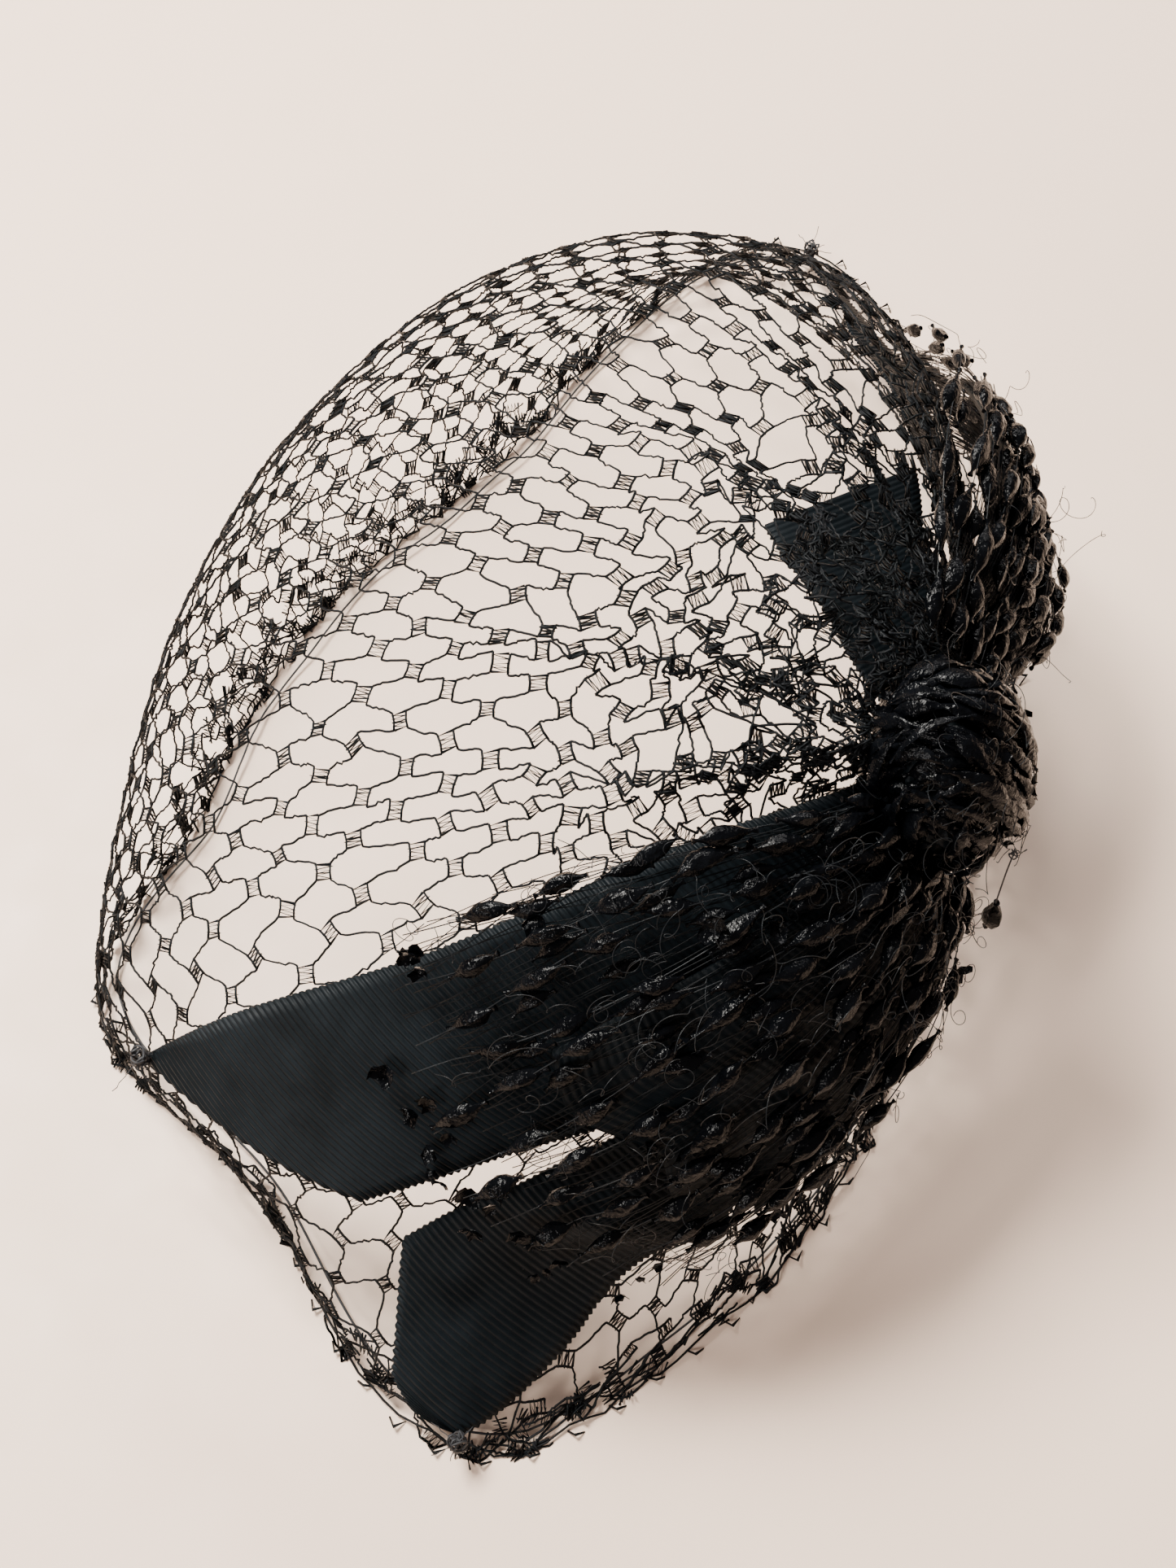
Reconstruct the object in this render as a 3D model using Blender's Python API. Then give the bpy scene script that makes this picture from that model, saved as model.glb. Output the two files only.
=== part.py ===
"""A bow-trimmed veil hat: a dome of open net on a hem, four ribbon tails, and a beaded bow of two wings.

Metres, +Z up. The hat rests on its hem at z = 0, with the bow on the -Y side.
Run with: blender --background --python part.py
"""

import bpy
import numpy as np
from mathutils import Vector

MM = 0.001

# The dome: an oval rim with a pointed near end and a back corner, closing to a rounded crown.
DOME_HEIGHT = 86 * MM
BODY_HALF_LENGTH = 80 * MM
BODY_HALF_WIDTH = 67 * MM
BODY_SQUARENESS = 2.2
BODY_SHIFT = np.array((-22, 20)) * MM
CROWN_LEAN = np.array((36, -23)) * MM
RIM_FADE = 4.6
FAR_FADE = 3.2
FAR_ANGLE = np.radians(-22)
ROUNDING = 0.36
BULGE = 0.055
RIM_STATIONS_MM = (
    (-130, 0), (-98, 42), (-72, 81), (-35, 76), (20, 66), (60, 44), (95, 32),
    (130, 4), (108, -30), (66, -57), (12, -60), (-38, -55), (-78, -47), (-108, -29),
)
RIM_STATIONS = np.array(RIM_STATIONS_MM) * MM
HEART = np.array((-5, 5, 25)) * MM
RAY_LIMIT = 0.26
ORIGIN = np.array((0.1, 8.1, 0)) * MM

NET_THICKNESS = 1.2 * MM
NET_SEGMENTS = 44
NET_LEVELS = 12
HEM_HEIGHT = 2.7 * MM
HEM_WIDTH = 4.0 * MM
HEM_SEGMENTS = 66
CORD_RADIUS = 0.6 * MM
CORD_INSET = 3.4 * MM
CORD_HEIGHT = 1.2 * MM
GAP = 0.3 * MM

RIBBON_THICKNESS = 0.8 * MM
TAIL_START = 2 * MM
INNER_TAIL_BOW = 1.5 * MM
WING_THICKNESS = 1.0 * MM
BEAD_RADIUS = 1.6 * MM
BEAD_LENGTH = 9.5 * MM
BEAD_PITCH = 12.5 * MM
BEAD_SHARE = 0.8
BEAD_SHOULDERS = (0.3, 0.7)
THREAD_RADIUS = 0.35 * MM
BEAD_SIDES = 5

# Ribbon tails: stations (mm) of the two selvedges from the knot outwards, where each selvedge ends
# (mm along it, the difference being the diagonal cut), and how far the ribbon lies off the net.
TAILS = {
    "tail_near_back": {
        "upper": ((-34, -38, 66), (-53, -15, 68), (-73, 15, 58), (-84, 46, 40), (-80, 69, 4)),
        "lower": (
            (-30, -54, 46), (-62, -36, 40), (-87, -9, 41), (-100, 16, 32), (-104, 40, 14), (-92, 62, -6),
        ),
        "ends": (127, 110),
        "offset": 2.8 * MM,
    },
    "tail_near_front": {
        "upper": ((-30, -50, 52), (-62, -36, 46), (-96, -2, 34), (-106, 14, 25), (-112, 32, 8)),
        "lower": ((-26, -58, 36), (-62, -52, 22), (-98, -22, 16), (-112, -12, 9), (-131, 0, 2)),
        "ends": (106, 137),
        "offset": 1.0 * MM,
    },
    "tail_far_front": {
        "upper": ((-8, -50, 56), (30, -52, 42), (66, -43, 28), (92, -26, 15), (119, 1, 6)),
        "lower": ((-8, -58, 38), (36, -58, 26), (76, -48, 12), (106, -28, 6), (132, 2, 2)),
        "ends": (120, 150),
        "offset": 0.9 * MM,
    },
}
# The fourth tail hangs free inside the dome, from the back of the knot.
INNER_TAIL_MM = ((-16, -38, 56), (14, -13, 55), (38.5, -34.5, 46.5), (4, -46, 42))

# The knot sits over the place where the net is gathered.
KNOT_FOOT_MM = (-22, -47, 54)
KNOT_RADII = np.array((13, 17, 7.5)) * MM
KNOT_CLEARANCE = 2.5 * MM
KNOT_SHIFT = np.array((-5, -6, 0)) * MM

# Wings: stations (mm) of the two long edges from the knot outwards, and how high the cloth arches.
WINGS = {
    "near_wing": {
        "upper": ((-41, -36, 68), (-53, -16, 69), (-62, 2, 66), (-72, 20, 58)),
        "lower": ((-38, -56, 41), (-54, -53, 36), (-76, -42, 26), (-98, -26, 15)),
        "foot": 4.8 * MM,
        "arch": (5 * MM, 6 * MM),
        "strings": 11,
    },
    "far_wing": {
        "upper": ((-2, -40, 71), (22, -38, 72), (50, -34, 64), (80, -29, 46)),
        "lower": ((-1, -57, 46), (20, -56, 35), (48, -51, 26), (76, -42, 21)),
        "foot": 4.6 * MM,
        "arch": (6 * MM, 14 * MM),
        "strings": 8,
    },
}
STRING_MARGIN = 0.02
LANE_MARGIN = 0.05
ARCH_POWER = 0.7

KNOT_WRAPS = 5
WRAP_CLEARANCE = 0.6 * MM
WRAP_LATITUDE = 0.72
WRAP_SLANT = 0.16
WRAP_REACH = np.radians(82)
LOOSE_THREAD_LENGTH = 15 * MM
LOOSE_THREAD_FOOT = np.array((-3, 18, 3)) * MM
LOOSE_BEAD_RADIUS = 1.9 * MM
TACK_RADIUS = 1.5 * MM
TACK_INSET = 3 * MM
GATHER_RADIUS = 6 * MM
GATHER_THREAD_RADIUS = 0.7 * MM
GATHER_DEPTH = 2.2 * MM
TUFT_RADIUS = 6 * MM
TUFT_SHIFT = np.array((4, 0, 0)) * MM
TUFT_START = 0.8 * MM
TUFT_TOP_GAP = 0.6 * MM
TUFT_PROFILE = np.array((1.0, 0.86, 0.8, 0.84))


def clear_scene():
    for obj in list(bpy.data.objects):
        bpy.data.objects.remove(obj, do_unlink=True)


def material(name, colour, roughness, metallic=0.0):
    made = bpy.data.materials.new(name)
    made.use_nodes = True
    shader = made.node_tree.nodes["Principled BSDF"]
    shader.inputs["Base Color"].default_value = (*colour, 1)
    shader.inputs["Roughness"].default_value = roughness
    shader.inputs["Metallic"].default_value = metallic
    return made


# ---- the dome as a surface ----

def rim_radius(angle):
    """Radius of the rim at an angle about the origin: a smooth curve through the rim's stations."""
    station_angle = np.arctan2(RIM_STATIONS[:, 1], RIM_STATIONS[:, 0])
    order = np.argsort(station_angle)
    around = np.concatenate([station_angle[order] + turn for turn in (-2 * np.pi, 0, 2 * np.pi)])
    radius = np.tile(np.hypot(RIM_STATIONS[:, 0], RIM_STATIONS[:, 1])[order], 3)
    slope = np.zeros(len(radius))
    slope[1:-1] = (radius[2:] - radius[:-2]) / (around[2:] - around[:-2])
    angle = (angle + np.pi) % (2 * np.pi) - np.pi
    k = np.searchsorted(around, angle) - 1
    span = around[k + 1] - around[k]
    u = (angle - around[k]) / span
    return ((2 * u**3 - 3 * u**2 + 1) * radius[k] + (u**3 - 2 * u**2 + u) * span * slope[k]
            + (3 * u**2 - 2 * u**3) * radius[k + 1] + (u**3 - u**2) * span * slope[k + 1])


def section_centre(t):
    """Centre of the dome's outline at each share t of its height."""
    return BODY_SHIFT * (1 - (1 - t) ** RIM_FADE)[..., None] + CROWN_LEAN * (t * t)[..., None]


def outline_radius(angle, t):
    """Radius of the dome's outline: the rim's at t = 0, turning into the body's oval further up."""
    far_side = (0.5 + 0.5 * np.cos(angle - FAR_ANGLE)) ** 4
    rim_share = (1 - t) ** (RIM_FADE - FAR_FADE * far_side)
    oval = (np.abs(np.cos(angle) / BODY_HALF_LENGTH) ** BODY_SQUARENESS
            + np.abs(np.sin(angle) / BODY_HALF_WIDTH) ** BODY_SQUARENESS) ** (-1 / BODY_SQUARENESS)
    plain = rim_radius(angle) * rim_share + oval * (1 - rim_share)
    return plain * (1 - t * t) ** ROUNDING * (1 + BULGE * np.sin(np.pi * t))


def dome_outline(angle, t):
    """Points of the dome's outline at share t of its height."""
    t = np.full(angle.shape, t)
    radius = outline_radius(angle, t)
    centre = section_centre(t)
    return np.stack([centre[:, 0] + radius * np.cos(angle), centre[:, 1] + radius * np.sin(angle),
                     t * DOME_HEIGHT], -1)


def is_outside(points):
    t = np.clip(points[..., 2] / DOME_HEIGHT, 0, 1)
    flat = points[..., :2] - section_centre(t)
    angle = np.arctan2(flat[..., 1], flat[..., 0])
    return (np.hypot(flat[..., 0], flat[..., 1]) > outline_radius(angle, t)) | (t >= 1)


def on_dome(points):
    """The points pushed along rays from the dome's heart until they lie on the dome."""
    ray = points - HEART
    ray = ray / np.linalg.norm(ray, axis=-1, keepdims=True)
    low = np.zeros(ray.shape[:-1])
    high = np.full(ray.shape[:-1], RAY_LIMIT)
    for _ in range(34):
        middle = (low + high) / 2
        out = is_outside(HEART + ray * middle[..., None])
        high = np.where(out, middle, high)
        low = np.where(out, low, middle)
    return HEART + ray * ((low + high) / 2)[..., None]


def dome_normal(points, step=0.5 * MM):
    """Outward normals at points of the dome, from neighbouring points of it."""
    ray = points - HEART
    distance = np.linalg.norm(ray, axis=-1, keepdims=True)
    ray = ray / distance
    side = np.cross(ray, (0.31, 0.17, 0.93))
    side /= np.linalg.norm(side, axis=-1, keepdims=True)
    up = np.cross(side, ray)
    across = on_dome(points + side * step) - on_dome(points - side * step)
    along = on_dome(points + up * step) - on_dome(points - up * step)
    normal = np.cross(across, along)
    normal /= np.linalg.norm(normal, axis=-1, keepdims=True)
    return normal * np.sign(np.sum(normal * ray, axis=-1, keepdims=True))


def lifted(points, height):
    return points + dome_normal(points) * height


def smooth_path(stations, share):
    """Catmull-Rom curve through stations, at shares 0 to 1 of its spans."""
    p = np.asarray(stations, float)
    p = np.vstack([2 * p[0] - p[1], p, 2 * p[-1] - p[-2]])
    x = np.clip(np.asarray(share) * (len(p) - 3), 0, len(p) - 3 - 1e-9)
    k = x.astype(int)
    u = (x - k)[..., None]
    a, b, c, d = p[k], p[k + 1], p[k + 2], p[k + 3]
    return 0.5 * (2 * b + (c - a) * u + (2 * a - 5 * b + 4 * c - d) * u**2 + (3 * b - a - 3 * c + d) * u**3)


def selvedge(stations_mm):
    """(distance run, points) along one edge of a ribbon, laid on the dome."""
    line = on_dome(smooth_path(np.array(stations_mm) * MM, np.linspace(0, 1, 161)))
    steps = np.linalg.norm(np.diff(line, axis=0), axis=1)
    return np.concatenate([[0], np.cumsum(steps)]), line


def point_at(edge, distance):
    run, line = edge
    return np.stack([np.interp(distance, run, line[:, i]) for i in range(3)], -1)


# ---- meshes ----

def add_mesh(name, points, faces, look, parent=None, smooth=True):
    """An object whose mesh points are given in the hat's own frame, hung from an empty if one is given."""
    pivot = Vector(parent.location) if parent else Vector((0, 0, 0))
    mesh = bpy.data.meshes.new(name)
    placed = np.asarray(points).reshape(-1, 3) - ORIGIN
    mesh.from_pydata([Vector(p) - pivot for p in placed], [], faces)
    mesh.update()
    mesh.materials.append(look)
    if smooth:
        mesh.shade_smooth()
        mesh.set_sharp_from_angle(angle=np.radians(50))
    obj = bpy.data.objects.new(name, mesh)
    bpy.context.scene.collection.objects.link(obj)
    obj.parent = parent
    return obj


def pivot_empty(name, position):
    empty = bpy.data.objects.new(name, None)
    empty.location = Vector(np.asarray(position) - ORIGIN)
    bpy.context.scene.collection.objects.link(empty)
    return empty


def sheet_faces(rows, columns):
    """Faces of a closed sheet: an outer grid, then an inner grid of the same size, and the rim between."""
    inner = rows * columns
    faces = []
    for i in range(rows - 1):
        for j in range(columns - 1):
            a, b = i * columns + j, i * columns + j + 1
            c, d = b + columns, a + columns
            faces.append((a, b, c, d))
            faces.append((inner + d, inner + c, inner + b, inner + a))
    border = [j for j in range(columns)] + [i * columns + columns - 1 for i in range(1, rows)]
    border += [(rows - 1) * columns + j for j in range(columns - 2, -1, -1)]
    border += [i * columns for i in range(rows - 2, 0, -1)]
    for a, b in zip(border, border[1:] + border[:1]):
        faces.append((b, a, inner + a, inner + b))
    return faces


def is_inside_out(points, faces):
    """True where a closed mesh has a negative volume."""
    points = np.asarray(points).reshape(-1, 3)
    volume = 0.0
    for face in faces:
        for k in range(1, len(face) - 1):
            volume += np.dot(points[face[0]], np.cross(points[face[k]], points[face[k + 1]]))
    return volume < 0


def add_solid(name, points, faces, look, parent=None, smooth=True):
    if is_inside_out(points, faces):
        faces = [tuple(reversed(face)) for face in faces]
    return add_mesh(name, points, faces, look, parent, smooth)


def add_sheet(name, outer, inner, look, parent=None):
    rows, columns = outer.shape[:2]
    points = np.concatenate([outer.reshape(-1, 3), inner.reshape(-1, 3)])
    return add_solid(name, points, sheet_faces(rows, columns), look, parent)


def tube_mesh(line, radii, sides, sideways):
    """Rings of a tube with a radius at each point of a line, closed by flat caps."""
    tangent = np.gradient(line, axis=0)
    tangent /= np.linalg.norm(tangent, axis=1, keepdims=True)
    first = np.cross(tangent, sideways)
    first /= np.linalg.norm(first, axis=1, keepdims=True)
    second = np.cross(tangent, first)
    turn = 2 * np.pi * np.arange(sides) / sides
    ring = first[:, None] * np.cos(turn)[None, :, None] + second[:, None] * np.sin(turn)[None, :, None]
    points = line[:, None] + ring * np.asarray(radii)[:, None, None]
    faces = []
    for i in range(len(line) - 1):
        for j in range(sides):
            k = (j + 1) % sides
            faces.append((i * sides + j, i * sides + k, (i + 1) * sides + k, (i + 1) * sides + j))
    faces.append(tuple(reversed(range(sides))))
    faces.append(tuple(range((len(line) - 1) * sides, len(line) * sides)))
    return points.reshape(-1, 3), faces


def ring_mesh(sections):
    """A closed ring through a loop of equal sections."""
    count, sides = sections.shape[:2]
    faces = []
    for i in range(count):
        n = (i + 1) % count
        for j in range(sides):
            k = (j + 1) % sides
            faces.append((i * sides + j, i * sides + k, n * sides + k, n * sides + j))
    return sections.reshape(-1, 3), faces


# ---- the pieces ----

def add_net(look):
    """The dome of net, as a thin skin that is open at the bottom and stands on the hem."""
    angle = 2 * np.pi * np.arange(NET_SEGMENTS) / NET_SEGMENTS
    foot = np.arcsin((HEM_HEIGHT + GAP) / DOME_HEIGHT)
    levels = np.sin(np.linspace(foot, np.pi / 2, NET_LEVELS))[:-1]
    outer = np.array([dome_outline(angle, t) for t in levels])
    inner = lifted(outer, -NET_THICKNESS)
    inner[0, :, 2] = outer[0, :, 2]
    crown = np.append(section_centre(np.array([1.0]))[0], DOME_HEIGHT)
    points = np.concatenate([outer.reshape(-1, 3), inner.reshape(-1, 3), [crown],
                             [crown - (0, 0, NET_THICKNESS)]])
    rings = NET_LEVELS - 1
    inside = rings * NET_SEGMENTS
    top = 2 * inside
    faces = []
    for j in range(NET_SEGMENTS):
        k = (j + 1) % NET_SEGMENTS
        for i in range(rings - 1):
            a, b = i * NET_SEGMENTS + j, i * NET_SEGMENTS + k
            c, d = b + NET_SEGMENTS, a + NET_SEGMENTS
            faces.append((a, b, c, d))
            faces.append((inside + d, inside + c, inside + b, inside + a))
        last = (rings - 1) * NET_SEGMENTS
        faces.append((last + j, last + k, top))
        faces.append((inside + last + k, inside + last + j, top + 1))
        faces.append((k, j, inside + j, inside + k))
    add_solid("veil_net", points, faces, look)


def rim_sections(inset_and_height):
    """Sections of a ring that follows the rim, each corner given as (inset from the rim, height)."""
    angle = 2 * np.pi * np.arange(HEM_SEGMENTS) / HEM_SEGMENTS
    rim = dome_outline(angle, 0.0)
    along = np.roll(rim, -1, axis=0) - np.roll(rim, 1, axis=0)
    inward = np.stack([-along[:, 1], along[:, 0], np.zeros(HEM_SEGMENTS)], -1)
    inward /= np.linalg.norm(inward, axis=1, keepdims=True)
    return np.stack([rim + inward * inset + (0, 0, height) for inset, height in inset_and_height], 1)


def add_hem(look):
    """The net's edge, folded double and pressed into a flat band that the hat stands on."""
    half = HEM_WIDTH / 2
    corners = ((-half, 0), (half, 0), (half, HEM_HEIGHT), (-half, HEM_HEIGHT))
    points, faces = ring_mesh(rim_sections(corners))
    add_solid("rim_hem", points, faces, look, smooth=False)


def add_rim_cord(look):
    """The cord that draws the rim in, just inside the hem."""
    corners = []
    for turn in np.radians((45, 135, 225, 315)):
        corners.append((CORD_INSET + CORD_RADIUS * np.cos(turn), CORD_HEIGHT + CORD_RADIUS * np.sin(turn)))
    points, faces = ring_mesh(rim_sections(corners))
    add_solid("rim_cord", points, faces, look)


def tail_grid(tail, lengths=16, widths=5):
    """Points on the dome under a ribbon tail: along its length, and from the upper selvedge to the lower."""
    upper, lower = selvedge(tail["upper"]), selvedge(tail["lower"])
    share = np.linspace(0, 1, widths)
    ends = np.array(tail["ends"]) * MM
    grid = np.empty((lengths, widths, 3))
    for j, s in enumerate(share):
        run = np.linspace(TAIL_START, ends[0] * (1 - s) + ends[1] * s, lengths)
        grid[:, j] = point_at(upper, run) * (1 - s) + point_at(lower, run) * s
    return on_dome(grid)


def add_tails(look):
    for name, tail in TAILS.items():
        grid = tail_grid(tail)
        normal = dome_normal(grid)
        inner = grid + normal * tail["offset"]
        outer = grid + normal * (tail["offset"] + RIBBON_THICKNESS)
        add_sheet(name, outer, inner, look)


def add_inner_tail(look):
    """A free ribbon end inside the dome, slightly bowed across its width."""
    corner = np.array(INNER_TAIL_MM) * MM
    length, width = np.meshgrid(np.linspace(0, 1, 7), np.linspace(0, 1, 5), indexing="ij")
    grid = ((corner[0] * (1 - length[..., None]) + corner[1] * length[..., None]) * (1 - width[..., None])
            + (corner[3] * (1 - length[..., None]) + corner[2] * length[..., None]) * width[..., None])
    normal = np.cross(corner[2] - corner[0], corner[3] - corner[1])
    normal /= np.linalg.norm(normal)
    grid = grid + normal * (INNER_TAIL_BOW * np.sin(np.pi * width) * np.sin(np.pi * length))[..., None]
    half = normal * RIBBON_THICKNESS / 2
    add_sheet("tail_inner", grid + half, grid - half, look)


def wing_point(wing, along, across, height=0.0):
    """A point of a wing's cloth: along 0 at the knot to 1 at the free end, across 0 to 1."""
    upper = smooth_path(np.array(wing["upper"]) * MM, along)
    lower = smooth_path(np.array(wing["lower"]) * MM, along)
    across = np.asarray(across)
    base = on_dome(upper * (1 - across[..., None]) + lower * across[..., None])
    low, high = wing["arch"]
    arch = wing["foot"] + (low + (high - low) * across) * np.sin(np.pi * np.asarray(along)) ** ARCH_POWER
    return base + dome_normal(base) * (arch + height)[..., None]


def fold_middle(wing):
    """The middle of a wing's fold line, beside the knot."""
    return wing_point(wing, np.array((0.0, 0.0)), np.array((0.0, 1.0))).mean(axis=0)


def add_wing(name, wing, cloth, beads):
    """A wing's cloth and the bead strings sewn over it, hung from an empty on the wing's fold line."""
    pivot = pivot_empty(name + "_pivot", fold_middle(wing))
    along, across = np.meshgrid(np.linspace(0, 1, 9), np.linspace(0, 1, 7), indexing="ij")
    half = WING_THICKNESS / 2
    add_sheet(name + "_cloth", wing_point(wing, along, across, half), wing_point(wing, along, across, -half),
              cloth, pivot)
    stand = half + GAP + BEAD_RADIUS
    fine = np.linspace(STRING_MARGIN, 1 - STRING_MARGIN, 60)
    for k, lane in enumerate(np.linspace(LANE_MARGIN, 1 - LANE_MARGIN, wing["strings"])):
        line = wing_point(wing, fine, np.full(60, lane), stand)
        add_bead_string(f"{name}_string_{k + 1}", line, beads, pivot, 0.5 * (k % 2))


def add_bead_string(name, line, look, parent=None, stagger=0.0):
    """Spindle beads in a row on a thread, set off by a share of their pitch."""
    run = np.concatenate([[0], np.cumsum(np.linalg.norm(np.diff(line, axis=0), axis=1))])
    count = max(2, round(run[-1] / BEAD_PITCH))
    pitch = run[-1] / count
    bead = min(BEAD_LENGTH, pitch * BEAD_SHARE)
    stops, radii = [0.0], [THREAD_RADIUS]
    for k in range(count - (stagger > 0)):
        start = (k + 0.5 + stagger) * pitch - bead / 2
        stops += [start, start + bead * BEAD_SHOULDERS[0], start + bead * BEAD_SHOULDERS[1], start + bead]
        radii += [THREAD_RADIUS, BEAD_RADIUS, BEAD_RADIUS, THREAD_RADIUS]
    stops.append(run[-1])
    radii.append(THREAD_RADIUS)
    centres = np.stack([np.interp(stops, run, line[:, i]) for i in range(3)], -1)
    outward = centres.mean(axis=0) - HEART
    points, faces = tube_mesh(centres, radii, BEAD_SIDES, outward / np.linalg.norm(outward))
    add_solid(name, points, faces, look, parent)


def knot_frame():
    """Centre of the knot and its axes: along the bow, down across it, and outwards."""
    foot = on_dome(np.array([KNOT_FOOT_MM]) * MM)
    out = dome_normal(foot)[0]
    along = np.array((1.0, 0.0, 0.0)) - out * out[0]
    along /= np.linalg.norm(along)
    down = np.cross(along, out)
    down *= -np.sign(down[2])
    axes = np.array((along, down, out))
    return foot[0] + out * (KNOT_CLEARANCE + KNOT_RADII[2]) + KNOT_SHIFT @ axes, axes


def knot_surface(longitude, latitude, swell=0.0):
    """A point on the knot's rounded bolster; longitude runs round the along axis."""
    centre, axes = knot_frame()
    radii = KNOT_RADII + swell
    local = np.stack([radii[0] * np.sin(latitude), radii[1] * np.cos(latitude) * np.sin(longitude),
                      radii[2] * np.cos(latitude) * np.cos(longitude)], -1)
    return centre + local @ axes


def add_knot(look, beads):
    """The bow's centre: a bolster of gathered cloth, wound about with short bead strings."""
    turns, bands = 20, 10
    longitude = 2 * np.pi * np.arange(turns) / turns
    points, faces = [], []
    for band in range(1, bands):
        latitude = np.full(turns, -np.pi / 2 + np.pi * band / bands)
        points.append(knot_surface(longitude, latitude))
    ends = knot_surface(np.zeros(2), np.array((-np.pi / 2, np.pi / 2)))
    points = np.concatenate(points + [ends])
    first, last = len(points) - 2, len(points) - 1
    for j in range(turns):
        k = (j + 1) % turns
        for i in range(bands - 2):
            faces.append((i * turns + j, i * turns + k, (i + 1) * turns + k, (i + 1) * turns + j))
        faces.append((k, j, first))
        faces.append(((bands - 2) * turns + j, (bands - 2) * turns + k, last))
    add_solid("bow_knot", points, faces, look)
    stand = WRAP_CLEARANCE + BEAD_RADIUS
    sweep = np.linspace(-WRAP_REACH, WRAP_REACH, 50)
    for k, latitude in enumerate(np.linspace(-WRAP_LATITUDE, WRAP_LATITUDE, KNOT_WRAPS)):
        slant = latitude + WRAP_SLANT * sweep
        add_bead_string(f"knot_wrap_{k + 1}", knot_surface(sweep, slant, stand), beads)


def add_gather_thread(look):
    """The thread that gathers the net behind the knot, as a small ring inside the dome."""
    foot = on_dome(np.array([KNOT_FOOT_MM]) * MM)
    out = dome_normal(foot)[0]
    side = np.cross(out, (0.0, 0.0, 1.0))
    side /= np.linalg.norm(side)
    up = np.cross(side, out)
    centre = foot[0] - out * (NET_THICKNESS + GATHER_DEPTH)
    sections = []
    for turn in 2 * np.pi * np.arange(14) / 14:
        radial = side * np.cos(turn) + up * np.sin(turn)
        ring = []
        for roll in 2 * np.pi * np.arange(5) / 5:
            reach = GATHER_RADIUS + GATHER_THREAD_RADIUS * np.cos(roll)
            ring.append(centre + radial * reach + out * GATHER_THREAD_RADIUS * np.sin(roll))
        sections.append(ring)
    points, faces = ring_mesh(np.array(sections))
    add_solid("gather_thread", points, faces, look)


def add_net_tuft(look):
    """The pinched net that stands out of the dome and is bound into the knot."""
    foot = on_dome(np.array([KNOT_FOOT_MM]) * MM + TUFT_SHIFT)
    out = dome_normal(foot)[0]
    heights = np.linspace(TUFT_START, KNOT_CLEARANCE - TUFT_TOP_GAP, len(TUFT_PROFILE))
    line = foot[0] + out * heights[:, None]
    points, faces = tube_mesh(line, TUFT_RADIUS * TUFT_PROFILE, 12, (0.0, 0.0, 1.0))
    add_solid("net_tuft", points, faces, look)


def ball_mesh(centre, radius, turns=8, bands=5):
    points, faces = [], []
    for band in range(1, bands):
        latitude = -np.pi / 2 + np.pi * band / bands
        for turn in 2 * np.pi * np.arange(turns) / turns:
            points.append(centre + radius * np.array((np.cos(latitude) * np.cos(turn),
                                                      np.cos(latitude) * np.sin(turn), np.sin(latitude))))
    points += [centre - (0, 0, radius), centre + (0, 0, radius)]
    for j in range(turns):
        k = (j + 1) % turns
        for i in range(bands - 2):
            faces.append((i * turns + j, i * turns + k, (i + 1) * turns + k, (i + 1) * turns + j))
        faces.append((k, j, len(points) - 2))
        faces.append(((bands - 2) * turns + j, (bands - 2) * turns + k, len(points) - 1))
    return np.array(points), faces


def add_tip_tacks(look):
    """The stitch that holds each ribbon tip to the rim."""
    for name, tail in TAILS.items():
        longest = int(tail["ends"][1] > tail["ends"][0])
        edge = selvedge(tail[("upper", "lower")[longest]])
        tip = on_dome(point_at(edge, np.array([tail["ends"][longest] * MM - TACK_INSET])))
        clear = tail["offset"] + RIBBON_THICKNESS + GAP + TACK_RADIUS
        points, faces = ball_mesh(lifted(tip, clear)[0], TACK_RADIUS)
        add_solid(name.replace("tail", "tack"), points, faces, look)


def loose_bead_top():
    """Where the hanging bead's thread leaves the lower end of the knot."""
    centre, axes = knot_frame()
    return centre + LOOSE_THREAD_FOOT @ axes


def add_loose_bead(thread, beads):
    """A bead that hangs on a short thread from the knot and swings."""
    top = loose_bead_top()
    pivot = pivot_empty("loose_bead_pivot", top)
    down = np.array((0.0, 0.0, -1.0))
    line = top + down * np.linspace(GAP, LOOSE_THREAD_LENGTH, 4)[:, None]
    points, faces = tube_mesh(line, np.full(4, THREAD_RADIUS), BEAD_SIDES, (1.0, 0.0, 0.0))
    add_solid("loose_thread", points, faces, thread, pivot)
    start = LOOSE_THREAD_LENGTH + GAP
    stops = start + BEAD_LENGTH * np.array((0, 0.25, 0.5, 0.75, 1))
    radii = LOOSE_BEAD_RADIUS * np.array((0.25, 0.85, 1.0, 0.8, 0.2))
    points, faces = tube_mesh(top + down * stops[:, None], radii, 7, (1.0, 0.0, 0.0))
    add_solid("loose_bead", points, faces, beads, pivot)


def main():
    clear_scene()
    net = material("black_net", (0.012, 0.014, 0.016), 0.6)
    ribbon = material("black_grosgrain", (0.010, 0.011, 0.014), 0.7)
    cloth = material("black_horsehair", (0.008, 0.009, 0.011), 0.5)
    beads = material("black_cellophane", (0.006, 0.007, 0.009), 0.12)
    thread = material("black_thread", (0.015, 0.015, 0.018), 0.6)
    add_net(net)
    add_hem(net)
    add_rim_cord(thread)
    add_tails(ribbon)
    add_inner_tail(ribbon)
    add_tip_tacks(thread)
    add_gather_thread(thread)
    add_net_tuft(net)
    add_knot(cloth, beads)
    for name, wing in WINGS.items():
        add_wing(name, wing, cloth, beads)
    add_loose_bead(thread, beads)


main()
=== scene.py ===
import bpy
import numpy as np
from mathutils import Matrix, Vector


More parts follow.
